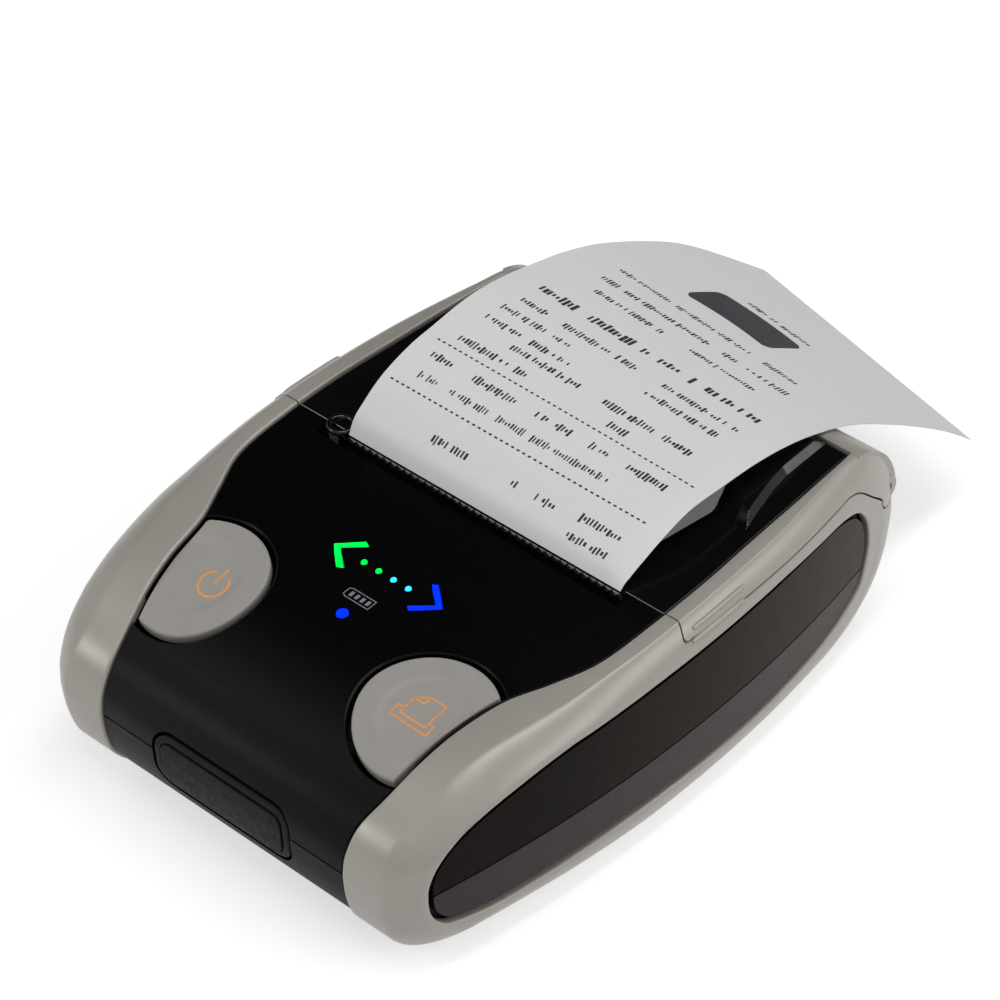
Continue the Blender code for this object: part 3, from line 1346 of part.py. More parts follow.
def add_sockets():
    top = MAIN_BOARD_TOP - BOARD_THICKNESS - SOCKET_TOP_GAP
    half = DC_WIDTH / 2
    face = SOCKET_FACE_Y + FIT
    jack = box("dc_jack", (DC_X - half, face, top - DC_HEIGHT), (DC_X + half, face + DC_LENGTH, top),
               black_plastic())
    z = top - DC_HEIGHT / 2
    bore = rod_y("dc_bore", DC_X, z, DC_BORE_RADIUS, face - OVERRUN, face + DC_BORE_DEPTH)
    pin = rod_y("dc_pin", DC_X, z, DC_PIN_RADIUS, face + FIT, face + DC_LENGTH - FIT)
    cut(jack, bore)
    join(jack, pin)
    half = USB_WIDTH / 2
    shell = box("usb_socket", (USB_X - half, face, top - USB_HEIGHT), (USB_X + half, face + USB_LENGTH,
                                                                       top), steel())
    inner_low = (USB_X - half + USB_WALL, face - OVERRUN, top - USB_HEIGHT + USB_WALL)
    inner_high = (USB_X + half - USB_WALL, face + USB_DEPTH, top - USB_WALL)
    cut(shell, box("usb_mouth", inner_low, inner_high))
    middle = top - USB_HEIGHT / 2
    tongue = box("usb_tongue", (USB_X - half / 2, face + FIT, middle - USB_TONGUE / 2),
                 (USB_X + half / 2, face + USB_LENGTH - FIT, middle + USB_TONGUE / 2))
    join(shell, tongue)


def rod_y(name, x, z, radius, low, high):
    points = [(px, y, pz) for y in (low, high) for px, pz in circle(x, z, radius, SMALL_SIDES)]
    return solid(name, points, rings_to_faces(2, SMALL_SIDES), None)


def port_hinge():
    """(y, z) of the flap's hinge line, at the lower edge of its outer face."""
    lower = STATIONS[HALF_STATIONS:] + STATIONS[:1]
    for first, second in zip(lower, lower[1:]):
        if min(first[1], second[1]) <= PORT_BOTTOM <= max(first[1], second[1]) and first[0] < 0:
            share = (PORT_BOTTOM - first[1]) / (second[1] - first[1])
            return first[0] + share * (second[0] - first[0]), PORT_BOTTOM
    return STATIONS[0][0], PORT_BOTTOM


def add_port_cover():
    """Soft flap over the sockets, with a raised panel, hinged along its lower edge."""
    y, z = port_hinge()
    flap = port_prism("port_cover", 0.0, -BODY_LENGTH, 0.0, dark_rubber())
    flap.location = (0.0, 0.0, 0.0)
    keep(flap, band_solid("port_cover_face", BAND_PROUD_GAP, -FIT))
    cut(flap, band_solid("port_cover_back", BAND_PROUD_GAP + PORT_SKIN, -OVERRUN))
    panel = port_prism("port_panel", -PORT_PANEL_MARGIN, -BODY_LENGTH, 0.0)
    keep(panel, band_solid("port_panel_face", BAND_PROUD_GAP - PORT_PANEL_RISE, -FIT))
    cut(panel, band_solid("port_panel_back", BAND_PROUD_GAP + PORT_SKIN / 2, -OVERRUN))
    join(flap, panel)
    shift_origin(flap, (0.0, y, z))
    return flap


def shift_origin(obj, centre):
    """Moves an object's origin and leaves its mesh where it is."""
    obj.data.transform(Matrix.Translation(-Vector(centre)))
    obj.location = centre


def add_small_electronics():
    top = MAIN_BOARD_TOP + FIT
    rod_z("buzzer", BUZZER_X, BUZZER_Y, BUZZER_RADIUS, top, top + BUZZER_HEIGHT - FIT, ROUND_SIDES,
          black_plastic())
    y = ROLL_Y - TRAY_RADIUS - SENSOR_OVERHANG
    z = ROLL_Z + TRAY_LIP + FIT
    box("paper_sensor", (SENSOR_X, y, z), (SENSOR_X + SENSOR_WIDTH, y + SENSOR_LENGTH, z + SENSOR_HEIGHT),
        black_plastic())


# Paper


def add_roll():
    low, high = PAPER_LOW, PAPER_HIGH
    roll = ((low, ROLL_RADIUS), (high, ROLL_RADIUS), (high, CORE_RADIUS + FIT), (low, CORE_RADIUS + FIT))
    turned_x("paper_roll", ROLL_Y, ROLL_Z, roll, 40, paper_white())
    bore = CORE_RADIUS - CORE_WALL
    core = ((low, CORE_RADIUS), (high, CORE_RADIUS), (high, bore), (low, bore))
    turned_x("paper_core", ROLL_Y, ROLL_Z, core, ROUND_SIDES, material("card", (0.45, 0.36, 0.26), 0.9))


def add_tray():
    """Trough under the roll, open at the top, with a wall at each end."""
    inner = TRAY_RADIUS - TRAY_WALL
    rim = ROLL_Z + TRAY_LIP
    start, end = math.pi, 2 * math.pi
    outer_arc = circle(ROLL_Y, ROLL_Z, TRAY_RADIUS, 20, start, end, False)
    inner_arc = circle(ROLL_Y, ROLL_Z, inner, 20, end, start, False)
    outline = [
        (ROLL_Y - TRAY_RADIUS, rim), *outer_arc, (ROLL_Y + TRAY_RADIUS, rim),
        (ROLL_Y + inner, rim), *inner_arc, (ROLL_Y - inner, rim),
    ]
    low, high = TRAY_LOW - TRAY_WALL, TRAY_HIGH + TRAY_WALL
    tray = prism_x("paper_tray", outline, low, high, black_plastic())
    wall = [(ROLL_Y - TRAY_RADIUS, rim), *outer_arc, (ROLL_Y + TRAY_RADIUS, rim)]
    join(tray, prism_x("tray_left_wall", wall, low, TRAY_LOW))
    join(tray, prism_x("tray_right_wall", wall, TRAY_HIGH, high))
    return tray


def at_length(points, distance):
    """Point on a polyline of (y, z) points at a distance along it."""
    for first, second in zip(points, points[1:]):
        step = math.dist(first, second)
        if distance <= step or second is points[-1]:
            share = min(distance / step, 1.0)
            return tuple(a + (b - a) * share for a, b in zip(first, second))
        distance -= step
    return points[-1]


def receipt_edge(shares):
    start = HEAD_FACE_Y + HEAD_FACE_GAP / 2
    return [(start + a * RECEIPT_REACH, SLOT_HEIGHT + b * RECEIPT_RISE) for a, b in shares]


def paper_sheet(name, left, right, rows):
    """Thin sheet between two long edges, whose rows join equal shares of their lengths."""
    edges = []
    for points in (left, right):
        total = sum(math.dist(a, b) for a, b in zip(points, points[1:]))
        edges.append([at_length(points, total * k / rows) for k in range(rows + 1)])
    vertices = []
    for k in range(rows + 1):
        before, after = max(k - 1, 0), min(k + 1, rows)
        offsets = []
        for edge in edges:
            along = Vector(edge[after]) - Vector(edge[before])
            along.normalize()
            offsets.append(Vector((-along.y, along.x)) * PAPER_THICKNESS / 2)
        for edge, x, sign, offset in (
            (edges[0], PAPER_LOW, 1, offsets[0]), (edges[1], PAPER_HIGH, 1, offsets[1]),
            (edges[1], PAPER_HIGH, -1, offsets[1]), (edges[0], PAPER_LOW, -1, offsets[0]),
        ):
            vertices.append((x, edge[k][0] + sign * offset.x, edge[k][1] + sign * offset.y))
    faces = []
    # Both faces are split along the same diagonal, so that the sheet keeps its thickness.
    for face in rings_to_faces(rows + 1, 4)[:-2]:
        a, b, c, d = (*face[1:], face[0]) if min(face) % 4 == 2 else face
        faces += [(a, b, c), (a, c, d)]
    faces += rings_to_faces(rows + 1, 4)[-2:]
    return solid(name, vertices, faces, paper_white())


def add_paper():
    left, right = receipt_edge(RECEIPT_LEFT_SHARES), receipt_edge(RECEIPT_RIGHT_SHARES)
    paper_sheet("receipt_strip", left, right, RECEIPT_ROWS)
    slot_y = left[0][0]
    wrap = PLATEN_RADIUS + HEAD_FACE_GAP / 2
    arc = circle(PLATEN_Y, PLATEN_Z, wrap, 8, math.pi, 1.5 * math.pi, False)
    loose = ROLL_RADIUS + TRAY_CLEARANCE / 2
    meet = math.radians(140)
    roll_point = (ROLL_Y + loose * math.cos(meet), ROLL_Z + loose * math.sin(meet))
    path = [(slot_y, SLOT_HEIGHT - 2 * FIT), *arc, roll_point]
    paper_sheet("paper_web", path, path, RECEIPT_ROWS)


# Screws, feet and ribbon


def add_screws_and_feet():
    for number, (x, y, seat) in enumerate(screw_spots(), 1):
        low = seat - FIT - SCREW_HEAD_HEIGHT
        screw = rod_z(f"case_screw_{number}", x, y, SCREW_HEAD_RADIUS, low, seat - FIT, SMALL_SIDES,
                      steel())
        shank = rod_z(f"screw_shank_{number}", x, y, SCREW_SHANK_RADIUS, seat - 2 * FIT,
                      screw_tip(seat), 12)
        join(screw, shank)
    for number, (x, y) in enumerate(foot_spots(), 1):
        rod_z(f"foot_pad_{number}", x, y, FOOT_RADIUS, 0.0, FOOT_HEIGHT, ROUND_SIDES, dark_rubber())


def add_ribbon():
    """Flat cable from the head's back, over the motor, to the rear edge of the main board."""
    sheet = RIBBON_THICKNESS
    top = HEAD_LOW_Z - FIT
    low = MAIN_BOARD_TOP + FIT
    rear = HEAD_BACK_Y + HEATSINK_THICKNESS
    front = MAIN_BOARD_REAR - RIBBON_DROP
    outline = (
        (front, low), (MAIN_BOARD_REAR, low), (MAIN_BOARD_REAR, top - sheet), (rear, top - sheet),
        (rear, top), (MAIN_BOARD_REAR - sheet, top), (MAIN_BOARD_REAR - sheet, low + sheet),
        (front, low + sheet),
    )
    half = RIBBON_WIDTH / 2
    prism_x("head_ribbon", outline, -half, half, material("ribbon_amber", (0.45, 0.22, 0.05), 0.4))


def main():
    clear_scene()
    add_lower_shell()
    add_upper_shell()
    add_bumpers()
    add_lid_frame()
    add_lid_cover()
    add_hinge_pins()
    add_platen_and_gears()
    add_motor_and_plate()
    add_head()
    for name, x in (("power", -BUTTON_X), ("feed", BUTTON_X)):
        add_button(f"{name}_button", x)
        add_switch(f"{name}_switch", x)
    add_lights()
    add_boards()
    add_battery_and_door()
    add_sockets()
    add_port_cover()
    add_small_electronics()
    add_roll()
    add_tray()
    add_paper()
    add_screws_and_feet()
    add_ribbon()


main()
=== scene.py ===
import math

import bmesh
import bpy
import numpy as np
from bpy.props import FloatProperty, FloatVectorProperty, IntProperty, PointerProperty
from mathutils import Matrix, Vector


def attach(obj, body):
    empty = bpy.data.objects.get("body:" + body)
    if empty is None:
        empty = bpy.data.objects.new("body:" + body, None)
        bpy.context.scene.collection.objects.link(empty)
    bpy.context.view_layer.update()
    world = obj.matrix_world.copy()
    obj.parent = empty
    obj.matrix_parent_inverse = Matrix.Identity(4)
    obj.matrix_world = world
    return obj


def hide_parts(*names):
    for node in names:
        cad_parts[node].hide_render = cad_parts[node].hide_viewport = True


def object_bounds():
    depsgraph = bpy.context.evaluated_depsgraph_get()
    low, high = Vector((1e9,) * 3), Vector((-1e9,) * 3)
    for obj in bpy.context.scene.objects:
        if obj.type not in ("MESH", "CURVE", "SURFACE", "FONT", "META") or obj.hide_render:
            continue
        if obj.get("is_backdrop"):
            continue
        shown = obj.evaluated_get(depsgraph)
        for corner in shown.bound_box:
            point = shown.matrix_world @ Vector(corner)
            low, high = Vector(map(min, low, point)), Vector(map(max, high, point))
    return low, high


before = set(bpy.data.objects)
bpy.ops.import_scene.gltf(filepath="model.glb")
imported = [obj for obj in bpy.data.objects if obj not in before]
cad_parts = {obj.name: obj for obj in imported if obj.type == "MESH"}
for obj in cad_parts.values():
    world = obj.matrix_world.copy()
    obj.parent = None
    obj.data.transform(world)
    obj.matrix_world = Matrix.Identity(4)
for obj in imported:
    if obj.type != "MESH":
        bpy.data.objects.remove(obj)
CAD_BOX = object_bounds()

bl_info = {
    "name": "Receipt printer looks",
    "version": (1, 0, 0),
    "blender": (4, 5, 0),
    "location": "3D View > Sidebar > Printer",
    "description": "Dresses a portable receipt printer and lights it for a picture",
    "category": "Object",
}

# Sizes in metres, as the solids have them. X runs across the printer, +Y to its rear, +Z up.
BODY_LENGTH = 0.1189
BODY_HEIGHT = 0.0387
HALF_WIDTH = 0.0453
SIDE_BOW = 0.0066
SIDE_DRAFT = 0.0009
SEAM_HEIGHT = 0.016
FIT = 0.0003
OVERRUN = 0.002
BUMPER_WALL = 0.0015
CORNER_DEPTH = 0.0062
CORNER_DEPTH_SHARE = 0.88
CORNER_WIDTH_SHARE = 0.75
CORNER_BULGE = 1.42
CORNER_FOOT = 0.0013
# Width of the bumpers' corner at shares of the body's length.
CORNER_WIDTHS = (
    (0.00, 0.0052), (0.03, 0.0062), (0.12, 0.0065), (0.20, 0.0056), (0.27, 0.0047), (0.36, 0.0039),
    (0.43, 0.0035), (0.70, 0.0036), (0.80, 0.0038), (1.00, 0.0040),
)
SHELL_WALL = 0.0018
BAND_DROP = 0.0004
BAND_EDGE_RADIUS = 0.0002
INLAY_DEPTH = 0.0004
INLAY_GAP = 0.0010
FLOOR_TOP = BAND_DROP + SHELL_WALL
STATIONS_PER_HALF = 130
MIRROR = (-1.0, 1.0, 1.0)

# From the front seam to the rear seam: length and height of the outline, half-width of the black
# band, length and height of the side opening. Shares of the body's length, height and half-width.
UPPER_ROW_SHARES = (
    (0.000, 0.413, 0.572, 0.0425, 0.415),
    (0.005, 0.517, 0.574, 0.0445, 0.500),
    (0.027, 0.628, 0.583, 0.058, 0.583),
    (0.066, 0.711, 0.609, 0.084, 0.655),
    (0.119, 0.811, 0.640, 0.130, 0.720),
    (0.173, 0.873, 0.667, 0.180, 0.762),
    (0.245, 0.904, 0.704, 0.244, 0.803),
    (0.303, 0.920, 0.770, 0.311, 0.817),
    (0.370, 0.946, 0.838, 0.378, 0.827),
    (0.471, 0.969, 0.856, 0.471, 0.838),
    (0.572, 0.982, 0.856, 0.572, 0.846),
    (0.673, 0.990, 0.841, 0.673, 0.853),
    (0.774, 0.997, 0.828, 0.757, 0.855),
    (0.849, 1.000, 0.815, 0.824, 0.845),
    (0.908, 0.990, 0.803, 0.870, 0.791),
    (0.955, 0.915, 0.795, 0.900, 0.685),
    (0.986, 0.765, 0.795, 0.913, 0.556),
    (1.000, 0.540, 0.795, 0.914, 0.465),
)
LOWER_ROW_SHARES = (
    (0.000, 0.413, 0.572, 0.0425, 0.415),
    (0.005, 0.284, 0.572, 0.0460, 0.335),
    (0.020, 0.160, 0.574, 0.058, 0.270),
    (0.055, 0.052, 0.574, 0.081, 0.220),
    (0.118, 0.000, 0.585, 0.135, 0.190),
    (0.202, 0.000, 0.618, 0.219, 0.184),
    (0.336, 0.000, 0.684, 0.353, 0.186),
    (0.505, 0.000, 0.751, 0.496, 0.181),
    (0.673, 0.000, 0.795, 0.639, 0.181),
    (0.824, 0.000, 0.795, 0.740, 0.196),
    (0.904, 0.052, 0.795, 0.807, 0.217),
    (0.963, 0.176, 0.795, 0.858, 0.258),
    (0.992, 0.349, 0.795, 0.900, 0.331),
    (1.000, 0.540, 0.795, 0.914, 0.465),
)

# Lid and hinge
LID_FRONT = -0.00125
LID_EDGE_HEIGHT = 0.0354
LID_TOP_CLEAR = 0.008
HINGE_Y = 0.0558
HINGE_Z = 0.0269
BARREL_RADIUS = 0.0026
BARREL_HALF = 0.0385
BAR_FRONT = 0.0475
HINGE_LIP_ANGLE = math.radians(30)
SWEPT_LIP_ANGLE = math.radians(30 - 70 - 6)
PIN_HOLE_RADIUS = 0.0012
EAR_INNER = 0.0205
EAR_WIDTH = 0.005
EAR_RADIUS = 0.0023
EAR_HEEL_HEIGHT = 0.0195
KNUCKLE_REACH = 0.005
WING_EDGE_SHARES = ((0.0, 0.0), (0.30, 0.13), (0.64, 0.54), (0.90, 0.85))
WING_EDGE_RUN = 0.0119
WING_CLEARANCE = 0.00045
TAB_INNER = 0.0412
TAB_OUTER = 0.0446
TAB_REACH = 0.0014
TAB_CORNER = 0.0008
RIB_PLACES = ((0.43, -0.0002), (0.64, -0.0014))
RIB_LENGTH = 0.0128
LID_SKIN = 0.0019
HUMP_HEIGHT = 0.0036
HUMP_FRONT_FOOT = 0.0295
HUMP_FLANK = 0.0036
HUMP_FRONT_TAPER = 0.14
HUMP_TAPER_END_SHARE = 0.53
HUMP_SLOPE = 1.06
HUMP_REAR_FACET = 0.0011
HUMP_CROWN_SLOPE = 0.14
HUMP_REAR_FEET = ((0.47, 0.0360), (0.56, 0.0347), (0.68, 0.0332), (0.78, 0.0324), (1.00, 0.0320))
HUMP_SOFTNESS = 0.00006
HUMP_ROW_SHARES = (
    (0.00, 0.00, 0.00),
    (0.12, 0.00, 0.00),
    (0.30, 0.42, 0.00),
    (0.47, 0.90, 0.00),
    (0.53, 0.93, 0.26),
    (0.60, 0.80, 0.58),
    (0.70, 0.50, 0.97),
    (0.80, 0.40, 0.98),
    (0.89, 0.30, 0.72),
    (0.96, 0.15, 0.28),
    (1.00, 0.05, 0.06),
)

# Paper, platen and slot
PAPER_LOW = -0.027
PAPER_WIDTH = 0.0575
ROLL_RADIUS = 0.0154
ROLL_Y = 0.0265
ROLL_Z = 0.0199
CORE_RADIUS = 0.0064
CORE_WALL = 0.0012
PLATEN_Y = 0.0024
PLATEN_Z = 0.0310
PLATEN_RADIUS = 0.004
SHAFT_RADIUS = 0.0013
# Radius at which the closed end of a turned rod stops, just off its axis
ON_AXIS = 0.00005
BUSH_RADIUS = 0.0023
BUSH_FLANGE_RADIUS = 0.0029
BUSH_FLANGE = 0.0005
ARM_THICKNESS = 0.0017
ARM_RADIUS = 0.0034
ARM_LEFT = -0.0299
ARM_RIGHT = 0.0317
GEAR_LOW = -0.0333
BAY_HALF = 0.0341
HEAD_FACE_GAP = 0.0006
RING_X = -0.0298
RING_Y = -0.0007
RING_RADIUS = 0.0021
RING_TUBE = 0.00055
SLOT_FRONT = -0.0045
SLOT_HALF = 0.032
SLOT_DEPTH = 0.0055
RECEIPT_START_Y = -0.0019
SLOT_HEIGHT = 0.0374
RECEIPT_REACH = 0.1083
RECEIPT_RISE = 0.012
PAPER_THICKNESS = 0.00012
CURL_START = 0.93
CURL_REACH = 0.45
CURL_START_SHARE = 0.03
BLOCK_LEFT = 0.0167
BLOCK_WIDTH = 0.0178
BLOCK_START = 0.0685
BLOCK_HEIGHT = 0.0118
BLOCK_BOW = 0.0008
CURL_DROP = 0.0009
PAPER_ROWS = 200
WEB_BEND_HEIGHT = 0.034
WEB_LIFT = 0.0004
WEB_LEAVES_ROLL = math.radians(140)
PRINT_HEIGHT = 0.00003
RECEIPT_LEFT_SHARES = (
    (0.000, 0.00), (0.012, 0.22), (0.032, 0.38), (0.065, 0.59), (0.100, 0.73), (0.141, 0.84),
    (0.184, 0.90), (0.233, 0.97), (0.283, 1.00), (0.341, 0.96), (0.378, 0.90), (0.429, 0.81),
    (0.481, 0.70), (0.558, 0.47), (0.635, 0.15), (0.699, -0.15), (0.765, -0.50), (0.832, -0.93),
    (0.919, -1.54), (1.000, -2.12),
)
RECEIPT_RIGHT_SHARES = (
    (0.000, 0.00), (0.016, 0.16), (0.050, 0.29), (0.098, 0.44), (0.154, 0.55), (0.226, 0.53),
    (0.299, 0.49), (0.373, 0.38), (0.451, 0.18), (0.530, -0.10), (0.614, -0.53), (0.700, -1.02),
    (0.790, -1.59), (0.862, -2.12),
)

# Keys, lights and the flap over the sockets
KEY_X = 0.0242
KEY_Y = -0.03895
KEY_TOP_Z = 0.0333473
KEY_SLOPE = math.radians(14.83)
KEY_RADIUS = 0.0114
KEY_GAP = 0.0009
KEY_WALL = 0.0018
KEY_RISE = 0.0002
KEY_STEM_RADIUS = 0.002
KEY_STEM_END = -0.00312
DISH_RADIUS = 0.0078
DISH_RIM = 0.0016
SIGN_LIFT = 0.00002
SIGN_SINK = 0.00004
LIGHT_STROKE = 0.0009
LIGHT_GAP = 0.00015
CHEVRON_Y = -0.02145
CHEVRON_POINT_X = 0.0115
CHEVRON_RUN = 0.0038
CHEVRON_RISE = 0.0033
DOT_RADIUS = 0.0005
DOT_FIRST_X = -0.0050
DOT_STEP = 0.00313
LAMP_Y = -0.03155
LAMP_RADIUS = 0.001
BATTERY_SIGN_Y = -0.0277
PORT_HALF = 0.0146
PORT_BOTTOM = 0.0093
PORT_TOP = 0.0203
PORT_CORNER = 0.0036
PORT_SKIN = 0.0022
PORT_PANEL_RISE = 0.0004
SOCKET_FACE_Y = -0.0558

# Base
DOOR_HALF = 0.016
DOOR_FRONT = -0.0405
DOOR_REAR = -0.0125
SCREW_SPOTS = ((0.019479, -0.0506514, 0.003), (0.0279954, 0.0527203, 0.0085))
SCREW_HEAD_RADIUS = 0.0022
SCREW_HEAD_HEIGHT = 0.0013
SCREW_CLEARANCE = 0.0004
FOOT_SPOTS = ((0.021291, -0.0410205), (0.030804, 0.0338865))
FOOT_RADIUS = 0.004
FOOT_HEIGHT = 0.0010
SMALL_RIM = 0.0003
RIDGE_HEIGHT = 0.00025
RIDGE_STEP = 0.0016
RIDGE_HALF = 0.006
RIDGE_ENDS = (0.0082, 0.0018)
SCREW_RADIUS = 0.0012
SCREW_LENGTH = 0.006
SCREW_DOME = 0.0003
SCREW_SLOT_DEPTH = 0.0007
SCREW_SLOT_HALF = 0.00028
SCREW_SLOT_WALL = 0.00012
SCREW_SLOT_REACH = 0.00125
SCREW_SLOT_END = 0.0002
BOSS_RADIUS = 0.003
BOSS_FOOT = 0.0013
DEEP_SEAT = 0.005
MOTOR_Y = -0.0081
MOTOR_Z = 0.01975
MOTOR_RADIUS = 0.0063
MOTOR_START = -0.0291
MOTOR_LENGTH = 0.019
MOTOR_RIM = 0.0006
# Distance from the motor's front and depth, at each corner of the groove round it
MOTOR_GROOVE = ((0.014, 0.0), (0.0142, 0.0003), (0.0146, 0.0003), (0.0148, 0.0))
MOTOR_BORE_DEPTH = 0.004
MOTOR_BORES = (0.0005, 0.0011)

# Camera, as worked out from the body's straight edges in the picture
CAMERA_PLACE = (0.29744, -0.32487, 0.40004)
CAMERA_BACK = (0.5175, -0.5730, 0.6355)
CAMERA_TURN = math.radians(42.09)
# Direction from the printer to the dark wall, which lies opposite the camera
DARK_WALL = (-0.5175, 0.5730, 0.6355)
FLOOR_REACH = 3.0
FLOOR_DROP = 0.0002


def linear(red, green, blue):
    """Shader colour for a display colour given as three numbers out of 255."""
    value = np.array([red, green, blue]) / 255
    found = np.where(value <= 0.04045, value / 12.92, ((value + 0.055) / 1.055) ** 2.4)
    return tuple(float(x) for x in found)


# The side view


def smooth_rows(rows, samples):
    """Smooth curve through the rows: at each even step of row number, the cubic blend of the two
    rows before and the two rows after it that passes through every row."""
    rows = np.asarray(rows, float)
    last = len(rows) - 1
    place = np.linspace(0, last, samples + 1)
    row = np.minimum(place.astype(int), last - 1)
    t = (place - row)[:, None]
    a, b = rows[np.maximum(row - 1, 0)], rows[row]
    c, d = rows[row + 1], rows[np.minimum(row + 2, last)]
    return 0.5 * (
        2 * b + (c - a) * t + (2 * a - 5 * b + 4 * c - d) * t**2 + (3 * b - a - 3 * c + d) * t**3
    )


def inward(loop):
    """Unit normal into the loop at each of its points: the chord between the neighbours, turned
    a quarter."""
    along = np.roll(loop, -1, axis=0) - np.roll(loop, 1, axis=0)
    along /= np.linalg.norm(along, axis=1)[:, None]
    return np.column_stack([along[:, 1], -along[:, 0]])


def side_x(yz):
    """Half-width of the bumper's side: the widest, less a bow that grows with the square of the
    distance along the printer, less a draft that grows towards the base."""
    y, z = yz[..., 0], yz[..., 1]
    return HALF_WIDTH - SIDE_BOW * (2 * y / BODY_LENGTH) ** 2 - SIDE_DRAFT * (1 - z / BODY_HEIGHT)


class SideView:
    """Stations round the printer's outline, over the top from front to rear and back underneath."""

    def __init__(self, samples):
        upper = smooth_rows(UPPER_ROW_SHARES, samples)
        lower = smooth_rows(LOWER_ROW_SHARES, samples)
        rows = np.vstack([upper, lower[-2:0:-1]])
        self.half_count = samples
        self.count = len(rows)
        height = np.maximum(rows[:, 1], 0.0)
        self.outer = np.column_stack([(rows[:, 0] - 0.5) * BODY_LENGTH, height * BODY_HEIGHT])
        self.band = rows[:, 2] * HALF_WIDTH
        self.opening = np.column_stack(
            [(rows[:, 3] - 0.5) * BODY_LENGTH, rows[:, 4] * BODY_HEIGHT]
        )
        self.outer_in = inward(self.outer)
        self.opening_in = inward(self.opening)
        room = np.linalg.norm(self.outer - self.opening, axis=1)
        self.corner_depth = np.minimum(CORNER_DEPTH, CORNER_DEPTH_SHARE * room)
        self.side = side_x(self.at(self.corner_depth))
        places, widths = np.array(CORNER_WIDTHS).T
        width = np.interp(self.outer[:, 0] / BODY_LENGTH + 0.5, places, widths)
        self.corner_width = np.minimum(width, CORNER_WIDTH_SHARE * (self.side - self.band))
        top = self.outer[: samples + 1]
        self.top = top[top[:, 1] > SEAM_HEIGHT]
        self.top_band = self.band[: samples + 1][top[:, 1] > SEAM_HEIGHT]

    def at(self, depth):
        """Places at a depth under the outline, one depth for all stations or one for each."""
        return self.outer + self.outer_in * np.broadcast_to(depth, self.count)[:, None]

    def ring(self, x, depth):
        """The stations at a half-width and at a depth under the outline."""
        return np.column_stack([x, self.at(depth)])

    def opening_at(self, depth):
        return self.opening + self.opening_in * depth

    def corner(self, angle):
        """Right half-widths and places on the corner at an angle of its turn. It is flatter than
        an ellipse between its two ends, as a sine and a cosine raised to a power."""
        across = 1 - math.sin(angle) ** CORNER_BULGE
        down = 1 - max(math.cos(angle), 0.0) ** CORNER_BULGE
        x = self.side - self.corner_width * across
        return self.ring(x, self.corner_depth * down)

    def height(self, y):
        return np.interp(y, self.top[:, 0], self.top[:, 1])

    def band_half(self, y):
        return np.interp(y, self.top[:, 0], self.top_band)


VIEW = SideView(STATIONS_PER_HALF)


def band_top(y):
    """Height of the black band's top along the printer."""
    return VIEW.height(y) - BAND_DROP


# Meshes from arrays of points

# Number of each axis
X, Y, Z = 0, 1, 2


def grid_faces(rows, columns, wrap_rows=False, wrap_columns=False, start=0):
    """Quads between the points of a grid that is stored row by row."""
    i = np.arange(rows if wrap_rows else rows - 1)[:, None]
    j = np.arange(columns if wrap_columns else columns - 1)[None, :]
    down, right = (i + 1) % rows, (j + 1) % columns
    quads = [i * columns + j, i * columns + right, down * columns + right, down * columns + j]
    return np.stack(quads, axis=-1).reshape(-1, 4) + start


def add_object(name, data):
    obj = bpy.data.objects.new(name, data)
    bpy.context.scene.collection.objects.link(obj)
    return obj


def closed_solid(name, points, faces, extra=()):
    """Solid with its doubles merged and its faces turned outwards; extra holds the faces that
    have more sides."""
    mesh = bpy.data.meshes.new(name)
    listed = np.asarray(faces).tolist() + [list(face) for face in extra]
    mesh.from_pydata(np.asarray(points, float).reshape(-1, 3).tolist(), [], listed)
    build = bmesh.new()
    build.from_mesh(mesh)
    bmesh.ops.remove_doubles(build, verts=build.verts, dist=1e-6)
    bmesh.ops.dissolve_degenerate(build, edges=build.edges, dist=1e-7)
    bmesh.ops.recalc_face_normals(build, faces=build.faces)
    if any(len(edge.link_faces) != 2 for edge in build.edges):
        raise RuntimeError(f"{name} isn't closed")
    if build.calc_volume(signed=True) < 0:
        bmesh.ops.reverse_faces(build, faces=build.faces)
    build.to_mesh(mesh)
    build.free()
    return add_object(name, mesh)


def tube_solid(name, points):
    """Ring-shaped solid: a grid of points that closes on itself both ways."""
    return closed_solid(name, points, grid_faces(*points.shape[:2], True, True))


def loft_solid(name, loops, capped=(True, True)):
    """Solid through loops of equal length, with a flat cap on the first and the last. An end with
    no cap is a loop drawn together to a point."""
    rows, columns = loops.shape[:2]
    ends = (range(columns), range((rows - 1) * columns, rows * columns))
    caps = [end for end, wanted in zip(ends, capped) if wanted]
    return closed_solid(name, loops, grid_faces(rows, columns, False, True), caps)


def slab_solid(name, top, bottom):
    """Thin solid between two grids of the same size, joined all round their rims."""
    rows, columns = top.shape[:2]
    count = rows * columns
    index = np.arange(count).reshape(rows, columns)
    faces = [grid_faces(rows, columns), grid_faces(rows, columns, start=count)[:, ::-1]]
    for edge in (index[0], index[-1], index[:, 0], index[:, -1]):
        faces.append(np.column_stack([edge[:-1], edge[1:], edge[1:] + count, edge[:-1] + count]))
    points = np.concatenate([top.reshape(-1, 3), bottom.reshape(-1, 3)])
    return closed_solid(name, points, np.vstack(faces))


def prism(name, outline, low, high, axis):
    """Solid between two copies of a flat outline, at low and high along the axis given."""
    outline = np.asarray(outline, float)
    loops = [np.insert(outline, axis, place, axis=1) for place in (low, high)]
    return loft_solid(name, np.array(loops))


def box_solid(name, low, high):
    outline = ((low[0], low[1]), (high[0], low[1]), (high[0], high[1]), (low[0], high[1]))
    return prism(name, outline, low[2], high[2], Z)


def quarter(count):
    """Even steps of angle through a quarter turn, both its ends included."""
    return np.linspace(0, math.pi / 2, count)


def full_circle(count):
    """Even steps of angle round a full circle."""
    return 2 * math.pi * np.arange(count) / count


